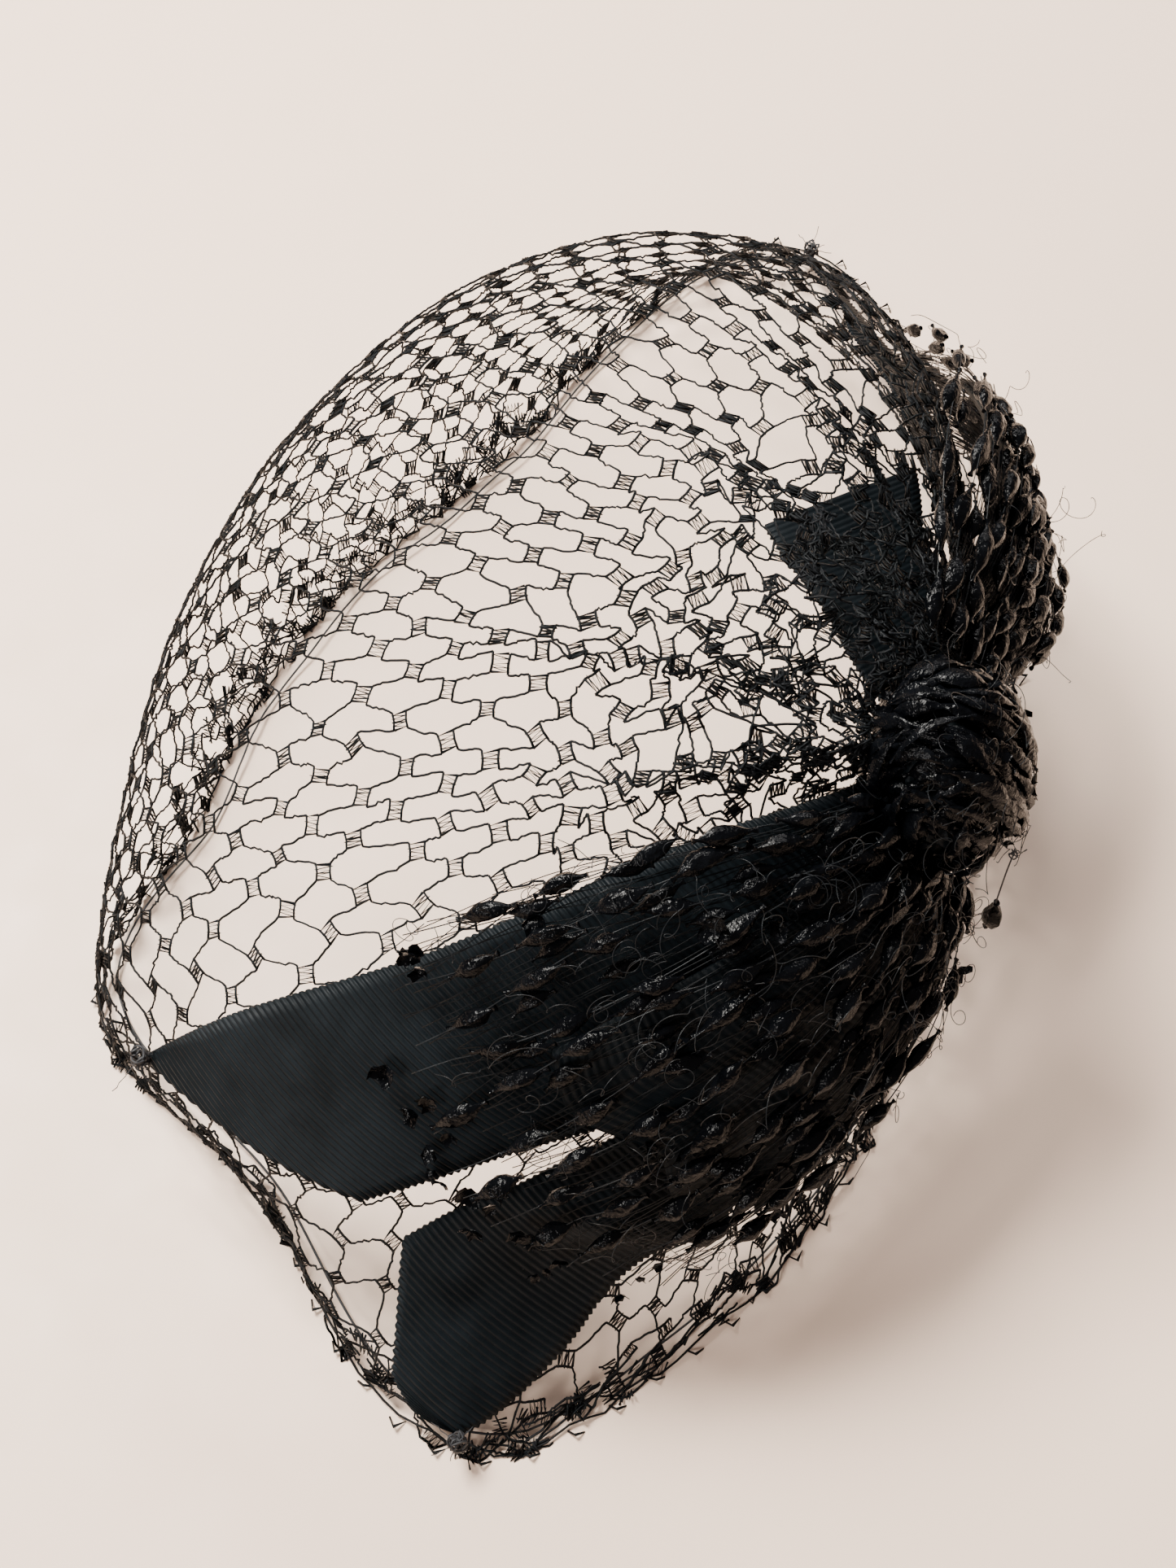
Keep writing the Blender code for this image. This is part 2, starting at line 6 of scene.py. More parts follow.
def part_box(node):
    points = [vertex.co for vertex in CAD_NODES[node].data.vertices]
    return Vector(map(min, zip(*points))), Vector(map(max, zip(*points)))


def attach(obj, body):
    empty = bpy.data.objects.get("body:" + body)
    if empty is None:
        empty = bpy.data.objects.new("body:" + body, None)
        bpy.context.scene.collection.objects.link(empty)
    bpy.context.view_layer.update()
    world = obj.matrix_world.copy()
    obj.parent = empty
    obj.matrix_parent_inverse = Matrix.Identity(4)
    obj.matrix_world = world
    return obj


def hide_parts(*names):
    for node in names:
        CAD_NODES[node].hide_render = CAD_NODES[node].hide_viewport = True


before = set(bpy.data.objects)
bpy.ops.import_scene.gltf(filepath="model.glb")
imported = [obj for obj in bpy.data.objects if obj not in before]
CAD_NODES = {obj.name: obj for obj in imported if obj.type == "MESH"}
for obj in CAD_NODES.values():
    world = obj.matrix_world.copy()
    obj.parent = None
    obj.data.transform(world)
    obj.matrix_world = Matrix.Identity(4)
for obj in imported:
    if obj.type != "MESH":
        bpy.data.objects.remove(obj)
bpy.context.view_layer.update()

MM = 0.001

# The hat's dimensions, as in the CAD model: the design's frame, set back by ORIGIN.
DOME_HEIGHT = 86 * MM
BODY_HALF_LENGTH = 80 * MM
BODY_HALF_WIDTH = 67 * MM
BODY_SQUARENESS = 2.2
BODY_SHIFT = np.array((-22, 20)) * MM
CROWN_LEAN = np.array((36, -23)) * MM
RIM_FADE = 4.6
FAR_FADE = 3.2
FAR_ANGLE = np.radians(-22)
ROUNDING = 0.36
BULGE = 0.055
RIM_STATIONS_MM = (
    (-130, 0), (-98, 42), (-72, 81), (-35, 76), (20, 66), (60, 44), (95, 32),
    (130, 4), (108, -30), (66, -57), (12, -60), (-38, -55), (-78, -47), (-108, -29),
)
RIM_STATIONS = np.array(RIM_STATIONS_MM) * MM
HEART = np.array((-5, 5, 25)) * MM
RAY_LIMIT = 0.26
HALVINGS = 26
ORIGIN = np.array((0.1, 8.1, 0)) * MM
KNOT_FOOT = np.array((-22, -47, 54)) * MM
KNOT_RADII = np.array((13, 17, 7.5)) * MM

# Each ribbon tail: its two edges (mm), how far each edge runs before the cut (mm), how far it lies off the
# net, and where a crease crosses each edge (mm from the knot).
TAILS = {
    "tail_near_back": {
        "upper": ((-34, -38, 66), (-53, -15, 68), (-73, 15, 58), (-84, 46, 40), (-80, 69, 4)),
        "lower": (
            (-30, -54, 46), (-62, -36, 40), (-87, -9, 41), (-100, 16, 32), (-104, 40, 14), (-92, 62, -6),
        ),
        "ends": (127, 110), "offset": 2.8 * MM, "crease": None,
    },
    "tail_near_front": {
        "upper": ((-30, -50, 52), (-62, -36, 46), (-96, -2, 34), (-106, 14, 25), (-112, 32, 8)),
        "lower": ((-26, -58, 36), (-62, -52, 22), (-98, -22, 16), (-112, -12, 9), (-131, 0, 2)),
        "ends": (106, 137), "offset": 1.0 * MM, "crease": (86, 74),
    },
    "tail_far_front": {
        "upper": ((-8, -50, 56), (30, -52, 42), (66, -43, 28), (92, -26, 15), (119, 1, 6)),
        "lower": ((-8, -58, 38), (36, -58, 26), (76, -48, 12), (106, -28, 6), (132, 2, 2)),
        "ends": (120, 150), "offset": 0.9 * MM, "crease": None,
    },
}
INNER_TAIL_MM = ((-16, -38, 56), (14, -13, 55), (38.5, -34.5, 46.5), (4, -46, 42))
# Each wing: its two edges (mm); its height off the dome at the foot, and the arch added at each edge; where
# its bead strings start and end along it, how far the middle ones bulge past that and how much the upper ones
# are cut short; how many there are and what share of its width they cover; its curled filaments and torn
# scraps; how far its ribbon loop reaches, and the share of the width at which the loop starts.
WINGS = {
    "near_wing": {
        "upper": ((-41, -36, 68), (-53, -16, 69), (-62, 2, 66), (-72, 20, 58)),
        "lower": ((-38, -56, 41), (-54, -53, 36), (-76, -42, 26), (-98, -26, 15)),
        "foot": 4.8 * MM, "arch": (5 * MM, 6 * MM),
        "start": -0.04, "end": 0.98, "bulge": 0.16, "trim": 0,
        "strings": 13, "lanes": (0.01, 0.95), "curls": 190, "scraps": 46, "loop": (0.86, 0.3),
    },
    "far_wing": {
        "upper": ((-2, -40, 71), (22, -38, 72), (50, -34, 64), (80, -29, 46)),
        "lower": ((-1, -57, 46), (20, -56, 35), (48, -51, 26), (76, -42, 21)),
        "foot": 3.6 * MM, "arch": (3.5 * MM, 12.5 * MM),
        "start": -0.18, "end": 0.9, "bulge": 0.02, "trim": 0.45,
        "strings": 12, "lanes": (-0.2, 0.95), "curls": 60, "scraps": 14, "loop": (0.6, 0.1),
    },
}
KNOT_WRAPS = 5
KNOT_GROWTH = np.array((-1.5, -2.0, 2.5)) * MM
KNOT_HEIGHT = np.array((-7.5, -9.5, 5.6)) * MM

NET_THREAD = 0.19 * MM
NET_CENTRE = np.array((-5, 5, -30)) * MM
NET_ROW_GAP = 4.1 * MM
NET_COLUMNS = 38
# A cell's length along its row: short by the knot, longer over the crown, and shorter again towards the rim.
KNOT_CELL = 3.6 * MM
CROWN_CELL_GAIN = 10.2 * MM
RIM_CELL_LOSS = 4.2 * MM
TIE_HALF_LENGTH = 1.35 * MM
TIE_HALF_WIDTH = 1.15 * MM
HEM_DEPTH = 11 * MM
RIM_TIES = 240
RIM_SAMPLES = 300
RIB_PITCH = 1.1 * MM
RIB_HEIGHT = 0.34 * MM
PICOT_DEPTH = 0.13 * MM
WEAVE_NOISE = 0.012 * MM
TAIL_COLUMNS = 15
BEAD_RADIUS = 1.5 * MM
BEAD_LENGTH = 9.3 * MM
BEAD_PITCH = 11.8 * MM
BEAD_SIDES = 12
# A spindle bead's width along its length, with a flare outside each pinched end.
BEAD_PROFILE = np.array((0.36, 0.15, 0.36, 0.66, 0.88, 0.98, 1.0, 0.97, 0.86, 0.62, 0.33, 0.14, 0.34))
UNDER_BEAD = (1.2 * MM, 8.2 * MM, 14 * MM)
FILAMENT = 0.07 * MM
BEAD_THREAD = 0.1 * MM
SHARP_FOLD = 40
PHASES = (0, 6.28)
SEEDS = {
    "net": 7, "rim": 21, "ribbons": 2, "knot_core": 5, "knot": 11, "tuft": 17, "stitches": 3, "loose_bead": 9,
}
LIT_SPOT = (0.0, 0.0, 0.03)
FLOOR_HALF_SIZE = 3.0


def random_for(part):
    return np.random.default_rng(SEEDS[part])


def settle(piece, body, node=None):
    """Hides the CAD node a piece stands for, if any, and attaches the piece to the body it rides."""
    if node:
        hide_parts(node)
    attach(piece, body)


# ---- the dome as a surface, as in the CAD model ----

def hermite(u, start, leaving, end, arriving):
    """A cubic from start to end, with the given slopes at its two ends."""
    return ((2 * u**3 - 3 * u**2 + 1) * start + (u**3 - 2 * u**2 + u) * leaving
            + (3 * u**2 - 2 * u**3) * end + (u**3 - u**2) * arriving)


def rim_radius(angle):
    """The rim's distance from the middle, as a smooth curve round the stations."""
    station_angle = np.arctan2(RIM_STATIONS[:, 1], RIM_STATIONS[:, 0])
    order = np.argsort(station_angle)
    around = np.concatenate([station_angle[order] + turn for turn in (-2 * np.pi, 0, 2 * np.pi)])
    radius = np.tile(np.hypot(RIM_STATIONS[:, 0], RIM_STATIONS[:, 1])[order], 3)
    slope = np.zeros(len(radius))
    slope[1:-1] = (radius[2:] - radius[:-2]) / (around[2:] - around[:-2])
    angle = (angle + np.pi) % (2 * np.pi) - np.pi
    k = np.searchsorted(around, angle) - 1
    span = around[k + 1] - around[k]
    return hermite((angle - around[k]) / span, radius[k], span * slope[k], radius[k + 1], span * slope[k + 1])


def section_centre(t):
    return BODY_SHIFT * (1 - (1 - t) ** RIM_FADE)[..., None] + CROWN_LEAN * (t * t)[..., None]


def outline_radius(angle, t):
    far_side = (0.5 + 0.5 * np.cos(angle - FAR_ANGLE)) ** 4
    rim_share = (1 - t) ** (RIM_FADE - FAR_FADE * far_side)
    oval = (np.abs(np.cos(angle) / BODY_HALF_LENGTH) ** BODY_SQUARENESS
            + np.abs(np.sin(angle) / BODY_HALF_WIDTH) ** BODY_SQUARENESS) ** (-1 / BODY_SQUARENESS)
    plain = rim_radius(angle) * rim_share + oval * (1 - rim_share)
    return plain * (1 - t * t) ** ROUNDING * (1 + BULGE * np.sin(np.pi * t))


def is_outside(points):
    t = np.clip(points[..., 2] / DOME_HEIGHT, 0, 1)
    flat = points[..., :2] - section_centre(t)
    angle = np.arctan2(flat[..., 1], flat[..., 0])
    return (np.hypot(flat[..., 0], flat[..., 1]) > outline_radius(angle, t)) | (t >= 1)


def unit(vectors):
    return vectors / np.maximum(np.linalg.norm(vectors, axis=-1, keepdims=True), 1e-12)


def blend(start, end, share):
    return start * (1 - share) + end * share


def turned(first, second, angle):
    """A direction at an angle from the first axis towards the second."""
    return first * np.cos(angle)[..., None] + second * np.sin(angle)[..., None]


def on_dome(points, heart=HEART):
    """Where the ray from the heart through each point meets the dome, by halving."""
    ray = unit(points - heart)
    low = np.zeros(ray.shape[:-1])
    high = np.full(ray.shape[:-1], RAY_LIMIT)
    for _ in range(HALVINGS):
        middle = (low + high) / 2
        out = is_outside(heart + ray * middle[..., None])
        high = np.where(out, middle, high)
        low = np.where(out, low, middle)
    return heart + ray * ((low + high) / 2)[..., None]


def dome_normal(points, step=0.5 * MM):
    ray = unit(points - HEART)
    side = unit(np.cross(ray, (0.31, 0.17, 0.93)))
    up = np.cross(side, ray)
    across = on_dome(points + side * step) - on_dome(points - side * step)
    along = on_dome(points + up * step) - on_dome(points - up * step)
    normal = unit(np.cross(across, along))
    return normal * np.sign(np.sum(normal * ray, axis=-1, keepdims=True))


def smooth_path(stations, share):
    p = np.asarray(stations, float)
    p = np.vstack([2 * p[0] - p[1], p, 2 * p[-1] - p[-2]])
    x = np.clip(np.asarray(share) * (len(p) - 3), 0, len(p) - 3 - 1e-9)
    k = x.astype(int)
    u = (x - k)[..., None]
    a, b, c, d = p[k], p[k + 1], p[k + 2], p[k + 3]
    return 0.5 * (2 * b + (c - a) * u + (2 * a - 5 * b + 4 * c - d) * u**2 + (3 * b - a - 3 * c + d) * u**3)


def run_of(line):
    return np.concatenate([[0], np.cumsum(np.linalg.norm(np.diff(line, axis=0), axis=1))])


def point_at(run, line, distance):
    return np.stack([np.interp(distance, run, line[:, i]) for i in range(3)], -1)


def selvedge(stations_mm):
    line = on_dome(smooth_path(np.array(stations_mm) * MM, np.linspace(0, 1, 161)))
    return run_of(line), line


def smoothstep(x):
    x = np.clip(x, 0, 1)
    return x * x * (3 - 2 * x)


# ---- mesh building ----

class Builder:
    """Collects points and faces, then makes one mesh object of them."""

    def __init__(self):
        self.points, self.faces, self.count = [], [], 0

    def add(self, points, *face_arrays):
        points = np.asarray(points, float).reshape(-1, 3)
        for faces in face_arrays:
            self.faces.append(np.asarray(faces, int) + self.count)
        self.points.append(points)
        self.count += len(points)

    def make(self, name, look, smooth_angle=None):
        points = np.concatenate(self.points) - ORIGIN
        points[:, 2] = np.maximum(points[:, 2], 0.1 * MM)
        mesh = bpy.data.meshes.new(name)
        mesh.vertices.add(len(points))
        mesh.vertices.foreach_set("co", points.astype(np.float32).ravel())
        sizes = np.concatenate([np.full(len(f), f.shape[1]) for f in self.faces])
        loops = np.concatenate([f.ravel() for f in self.faces])
        mesh.loops.add(len(loops))
        mesh.loops.foreach_set("vertex_index", loops.astype(np.int32))
        mesh.polygons.add(len(sizes))
        starts = np.concatenate([[0], np.cumsum(sizes)[:-1]])
        mesh.polygons.foreach_set("loop_start", starts.astype(np.int32))
        mesh.update(calc_edges=True)
        mesh.validate()
        mesh.shade_smooth()
        if smooth_angle:
            mesh.set_sharp_from_angle(angle=np.radians(smooth_angle))
        mesh.materials.append(look)
        obj = bpy.data.objects.new(name, mesh)
        bpy.context.scene.collection.objects.link(obj)
        return obj


def add_tubes(builder, lines, radius, sides=4):
    """Closed tubes along lines, an array of (tube, point, xyz); radius per tube and point, or one for all."""
    lines = np.asarray(lines, float)
    count, length = lines.shape[:2]
    radius = np.broadcast_to(np.asarray(radius, float), (count, length))
    tangent = unit(np.gradient(lines, axis=1))
    outward = unit(lines.mean(axis=1) - HEART)[:, None] + 1e-3
    first = unit(np.cross(tangent, outward))
    second = np.cross(first, tangent)
    turn = 2 * np.pi * np.arange(sides) / sides
    ring = first[:, :, None] * np.cos(turn)[:, None] + second[:, :, None] * np.sin(turn)[:, None]
    points = lines[:, :, None] + ring * radius[:, :, None, None]
    base = (np.arange(count) * length * sides)[:, None, None]
    i = (np.arange(length - 1) * sides)[None, :, None]
    j = np.arange(sides)[None, None, :]
    k = (j + 1) % sides
    ring = base + i
    quads = np.stack([ring + k, ring + j, ring + sides + j, ring + sides + k], -1).reshape(-1, 4)
    start = np.arange(count)[:, None] * length * sides + np.arange(sides)[None]
    end = start[:, ::-1] + (length - 1) * sides
    builder.add(points, quads, start, end)


def tubes_piece(name, look, *groups):
    """A piece made of groups of tubes: (lines, radius) or (lines, radius, sides)."""
    builder = Builder()
    for group in groups:
        add_tubes(builder, *group)
    return builder.make(name, look)


def grid_faces(rows, columns, start=0, flip=False):
    a = start + (np.arange(rows - 1) * columns)[:, None] + np.arange(columns - 1)[None]
    quads = np.stack([a, a + 1, a + columns + 1, a + columns], -1).reshape(-1, 4)
    return quads[:, ::-1] if flip else quads


def add_sheet(builder, outer, inner):
    """A closed sheet from an outer and an inner grid of points."""
    rows, columns = outer.shape[:2]
    size = rows * columns
    border = list(range(columns)) + [i * columns + columns - 1 for i in range(1, rows)]
    border += [(rows - 1) * columns + j for j in range(columns - 2, -1, -1)]
    border += [i * columns for i in range(rows - 2, 0, -1)]
    border = np.array(border)
    nxt = np.roll(border, -1)
    sides = np.stack([nxt, border, border + size, nxt + size], -1)
    normal = np.cross(outer[1, 0] - outer[0, 0], outer[0, 1] - outer[0, 0])
    faces = [grid_faces(rows, columns), grid_faces(rows, columns, size, True), sides]
    if np.dot(normal, (outer - inner)[0, 0]) > 0:
        faces = [f[:, ::-1] for f in faces]
    builder.add(np.concatenate([outer.reshape(-1, 3), inner.reshape(-1, 3)]), *faces)


# ---- materials ----

def surface_look(name, tone, tones, roughness, grains, sheen):
    """A material whose tone, roughness and grain each follow a noise. Its grains, each a noise, a strength
    and a depth in mm, lie on one another, the finest first."""
    material = bpy.data.materials.new(name)
    material.use_nodes = True
    tree = material.node_tree
    shader = tree.nodes["Principled BSDF"].inputs
    place = tree.nodes.new("ShaderNodeTexCoord").outputs["Object"]

    def node(kind, **inputs):
        made = tree.nodes.new("ShaderNode" + kind)
        for key, value in inputs.items():
            socket = made.inputs[key.replace("_", " ")]
            if isinstance(value, bpy.types.NodeSocket):
                tree.links.new(value, socket)
            else:
                socket.default_value = value
        return made

    def noise(scale, detail=3.0, rough=0.5):
        return node("TexNoise", Vector=place, Scale=scale, Detail=detail, Roughness=rough).outputs["Fac"]

    ramp = node("ValToRGB", Fac=noise(*tone))
    for element, (where, colour) in zip(ramp.color_ramp.elements, tones):
        element.position = where
        element.color = (*colour, 1)
    tree.links.new(ramp.outputs["Color"], shader["Base Color"])
    scale, low, high = roughness
    gloss = node("MapRange", Value=noise(scale), From_Min=0.3, From_Max=0.7, To_Min=low, To_Max=high)
    tree.links.new(gloss.outputs["Result"], shader["Roughness"])
    normal = shader["Normal"]
    for grain, strength, depth in reversed(grains):
        bump = node("Bump", Height=noise(*grain), Strength=strength, Distance=depth * MM)
        tree.links.new(bump.outputs["Normal"], normal)
        normal = bump.inputs["Normal"]
    shader["Specular IOR Level"].default_value = sheen
    return material


# Each material: name, tone noise, two tones and where they sit, roughness noise and range, grains, sheen.
LOOKS = {
    "net": ("veiling_nylon", (180,), ((0.35, (0.002, 0.003, 0.0035)), (0.7, (0.007, 0.008, 0.0095))),
            (900, 0.38, 0.62), [((5200, 2), 0.35, 0.06)], 0.12),
    "grosgrain": ("grosgrain", (120, 4), ((0.3, (0.0018, 0.0032, 0.0042)), (0.75, (0.0062, 0.0092, 0.0115))),
                  (700, 0.42, 0.6), [((4200, 3, 0.6), 0.5, 0.06), ((350, 3), 0.25, 0.1)], 0.09),
    "cellophane": ("cellophane", (260,), ((0.35, (0.0008, 0.001, 0.0014)), (0.7, (0.003, 0.0035, 0.0045))),
                   (600, 0.07, 0.18), [((1100, 3), 0.9, 0.4)], 0.09),
    "crin": ("horsehair", (240,), ((0.3, (0.002, 0.0025, 0.003)), (0.75, (0.007, 0.008, 0.009))),
             (800, 0.3, 0.5), [((3000, 2), 0.3, 0.05)], 0.1),
    "filament": ("filament", (300,), ((0.3, (0.004, 0.005, 0.006)), (0.75, (0.014, 0.016, 0.018))),
                 (800, 0.25, 0.4), [((3000, 2), 0.3, 0.05)], 0.2),
    "thread": ("sewing_thread", (400,), ((0.3, (0.010, 0.010, 0.012)), (0.75, (0.026, 0.027, 0.030))),
               (900, 0.5, 0.75), [((4000, 2), 0.5, 0.08)], 0.5),
    "table": ("table", (3.0, 4), ((0.3, (0.93, 0.70, 0.545)), (0.75, (0.96, 0.74, 0.585))),
              (60, 0.45, 0.6), [((900, 3), 0.05, 0.2)], 0.5),
}


# ---- the net ----

def turn_from(angle, bearing):
    """The turn from a bearing to an angle, between half a turn back and half a turn on."""
    return (angle - bearing + np.pi) % (2 * np.pi) - np.pi


class Net:
    """The veiling, laid out round the knot: row (angle) and distance from the knot, mapped onto the dome."""
    ANGLES, SHARES = 240, 90
    # Where each pleat ends (mm), its half width (mm) and how far its fold stands off the dome (mm).
    PLEATS = (
        ((-35, 33, 74), 7.0, 3.2), ((-54, 10, 70), 6.5, 3.0), ((6, 14, 85), 8.0, 3.4),
        ((30, 5, 84), 6.5, 3.0), ((-20, -2, 81), 4.5, 2.4), ((-8, 6, 84), 4.5, 2.4),
        ((-44, -8, 74), 4.5, 2.2),
    )

    def __init__(self):
        self.random = random_for("net")
        self.knot = on_dome(KNOT_FOOT)
        self.heading = unit(self.knot - NET_CENTRE)
        self.up = unit(np.array((0, 0, 1.0)) - self.heading * self.heading[2])
        self.side = np.cross(self.heading, self.up)
        angle = 2 * np.pi * np.arange(self.ANGLES) / self.ANGLES
        self.map_dome(angle)
        self.pleats = [self.pleat(*pleat) for pleat in self.PLEATS]
        self.space_rows(angle)
        self.space_cells()
        self.waves = self.random.uniform(0, 2 * np.pi, (6, 3))

    def map_dome(self, angle):
        """A table of points along each angle, at equal shares of the way from the knot to the rim."""
        spread = np.linspace(0.012, 2.3, 190)
        surface = on_dome(NET_CENTRE + self.ray(angle[:, None], spread[None]), NET_CENTRE)
        step = np.linalg.norm(np.diff(surface, axis=1), axis=2)
        run = np.concatenate([np.zeros((self.ANGLES, 1)), np.cumsum(step, axis=1)], axis=1)
        self.reach = np.empty(self.ANGLES)
        self.table = np.empty((self.ANGLES, self.SHARES, 3))
        share = np.linspace(0, 1, self.SHARES)
        for a in range(self.ANGLES):
            below = int(np.argmax(surface[a, :, 2] < 0))
            z0, z1 = surface[a, below - 1, 2], surface[a, below, 2]
            self.reach[a] = run[a, below - 1] + (run[a, below] - run[a, below - 1]) * z0 / (z0 - z1)
            self.table[a] = point_at(run[a], surface[a], share * self.reach[a])

    def pleat(self, end, width, height):
        """A pleat's bearing from the knot, its length, half width and height."""
        local = unit(np.array(end) * MM - NET_CENTRE)
        bearing = np.arctan2(local @ self.side, local @ self.up)
        return bearing, 1.1 * np.linalg.norm(np.array(end) * MM - self.knot), width * MM, height * MM

    def space_rows(self, angle):
        """The rows' angles: equal gaps 90 mm out from the knot, and a little closer in the pleats."""
        gauge = self.lookup(angle, np.minimum(90 * MM / self.reach, 0.97))
        around = np.diff(run_of(np.vstack([gauge, gauge[:1]])))
        for bearing, _, width, _ in self.pleats:
            around = around * (1 + 0.2 * np.exp(-(turn_from(angle, bearing) * 70 * MM / width) ** 2))
        around = np.concatenate([[0], np.cumsum(around)])
        self.rows = 2 * int(round(around[-1] / NET_ROW_GAP / 2))
        row = np.arange(self.rows) / self.rows * around[-1]
        self.row_angle = np.interp(row, around, np.append(angle, 2 * np.pi))
        self.row_turn = np.gradient(np.unwrap(self.row_angle))

    def space_cells(self):
        self.distance = np.linspace(0, 0.32, 800)
        pitch = KNOT_CELL + CROWN_CELL_GAIN * smoothstep((self.distance - 32 * MM) / (54 * MM))
        pitch -= RIM_CELL_LOSS * smoothstep((self.distance - 105 * MM) / (60 * MM))
        self.cell_run = np.concatenate([[0], np.cumsum(np.diff(self.distance) / pitch[1:])])

    def ray(self, angle, spread):
        return turned(self.heading, turned(self.up, self.side, angle), spread)

    def at(self, cells):
        return np.interp(cells, self.cell_run, self.distance)

    def reach_at(self, angle):
        x = (angle / (2 * np.pi) * self.ANGLES) % self.ANGLES
        k = x.astype(int)
        return blend(self.reach[k], self.reach[(k + 1) % self.ANGLES], x - k)

    def lookup(self, angle, share):
        x = (angle / (2 * np.pi) * self.ANGLES) % self.ANGLES
        k = np.minimum(x.astype(int), self.ANGLES - 1)
        u = (x - k)[..., None]
        y = np.clip(share, 0, 1) * (self.SHARES - 1)
        m = np.minimum(y.astype(int), self.SHARES - 2)
        v = (y - m)[..., None]
        n = (k + 1) % self.ANGLES
        near = blend(self.table[k, m], self.table[k, m + 1], v)
        far = blend(self.table[n, m], self.table[n, m + 1], v)
        return blend(near, far, u)

    def ripple(self, angle, distance):
        total = np.zeros(np.shape(angle))
        for k, (a, b, c) in enumerate(self.waves):
            total += np.sin((2 + 3 * k) * angle + a + 1.2 * np.sin(distance / (14 * MM) + b)) \
                * np.sin(distance / ((26 - 3 * k) * MM) + c)
        return total / len(self.waves)

    def place(self, angle, distance):
        """Points of the net: pleated near the knot, and turned under at the rim."""
        angle, distance = np.asarray(angle, float), np.asarray(distance, float)
        lift = np.zeros(angle.shape)
        for bearing, length, width, height in self.pleats:
            strength = smoothstep((length - distance) / (26 * MM))
            strength = strength * (0.3 + 0.7 * smoothstep(distance / (48 * MM)))
            turn = turn_from(angle, bearing)
            across = turn * np.maximum(distance, 4 * MM)
            bell = np.exp(-(across / width) ** 2) * strength
            angle = angle - turn * 0.7 * bell
            lift += height * bell
        near_knot = smoothstep((58 * MM - distance) / (44 * MM))
        lift += near_knot * (2.0 * MM + 2.6 * MM * self.ripple(angle * 2.3 + 1, distance * 2))
        lift += 0.9 * MM * self.ripple(angle, distance)
        reach = self.reach_at(angle) + 1.3 * MM * np.sin(angle * 31 + 2 * np.sin(angle * 7))
        over = np.maximum(distance - reach, 0)
        share = (np.minimum(distance, reach) - over * 0.95) / reach
        points = self.lookup(angle, share)
        turned = smoothstep(over / (2 * MM))
        lift = lift * (1 - turned) - turned * (1.3 * MM + 0.8 * MM * np.sin(angle * 47 + over * 900))
        return points + unit(points - HEART) * lift[..., None]


def tie_frames(net, angle, distance, wildness):
    """Centre and in-plane axes of each tie: along the rails and across them."""
    random = net.random
    centre = net.place(angle, distance)
    step = 1.2 * MM
    across = net.place(angle + step / np.maximum(distance, 12 * MM), distance) - centre
    along = net.place(angle, distance + step) - net.place(angle, distance - step)
    rail = unit(across)
    rung = unit(along - rail * np.sum(along * rail, -1, keepdims=True))
    turn = random.normal(0, 1, angle.shape) * wildness
    rail, rung = turned(rail, rung, turn), turned(rung, -rail, turn)
    tip = random.normal(0, 0.25, angle.shape)[..., None] * wildness[..., None] * np.cross(rail, rung) * 2.0
    return centre, unit(rail + tip), rung


def zigzag(centre, rail, rung, steps, reach):
    """The thread laced from side to side of each tie; rail and rung are half the tie's length and width."""
    climb = np.linspace(-reach, reach, steps)[:, None]
    swing = np.where(np.arange(steps) % 2, 1.0, -1.0)[:, None]
    return centre[:, None] + rail[:, None] * climb + rung[:, None] * swing


def add_ties(net, builder, pick, corner, ladder):
    """Two rails and the zigzag thread of each chosen tie."""
    centre, rail, rung, half_length, half_width = (a[pick] for a in ladder)
    rails = []
    for s in (-1, 1):
        middle = (corner[s, -1][pick] + corner[s, 1][pick]) / 2 - rung * 0.15 * MM * s
        rails.append(np.stack([corner[s, -1][pick], middle, corner[s, 1][pick]], 1))
    add_tubes(builder, np.concatenate(rails), NET_THREAD * 1.1)
    laces = zigzag(centre, rail * half_length, rung * half_width, 10, 0.95)
    add_tubes(builder, laces + net.random.normal(0, 0.09, laces.shape) * MM, NET_THREAD * 1.15)


def add_threads(net, builder, s, near, far, corner, rail, rung):
    """The single threads that leave each tie's outer end for the next row's ties, as slack curves."""
    start, end = corner[s, 1][near], corner[-s, -1][far]
    gap = np.linalg.norm(end - start, axis=1, keepdims=True)
    share = np.linspace(0, 1, 9)[None, :, None]
    bow = net.random.uniform(0.0, 0.4, (len(gap), 2, 1)) * gap[:, None]
    out = (end - start) + rail[near] * bow[:, 0] + rung[near] * (0.1 * s * bow[:, 0])
    into = (end - start) + rail[far] * bow[:, 1] + rung[far] * (0.1 * s * bow[:, 1])
    curve = hermite(share, start[:, None], out[:, None], end[:, None], into[:, None])
    wobble = net.random.normal(0, 0.13, curve.shape) * MM
    add_tubes(builder, curve + wobble * np.sin(np.pi * share), NET_THREAD)


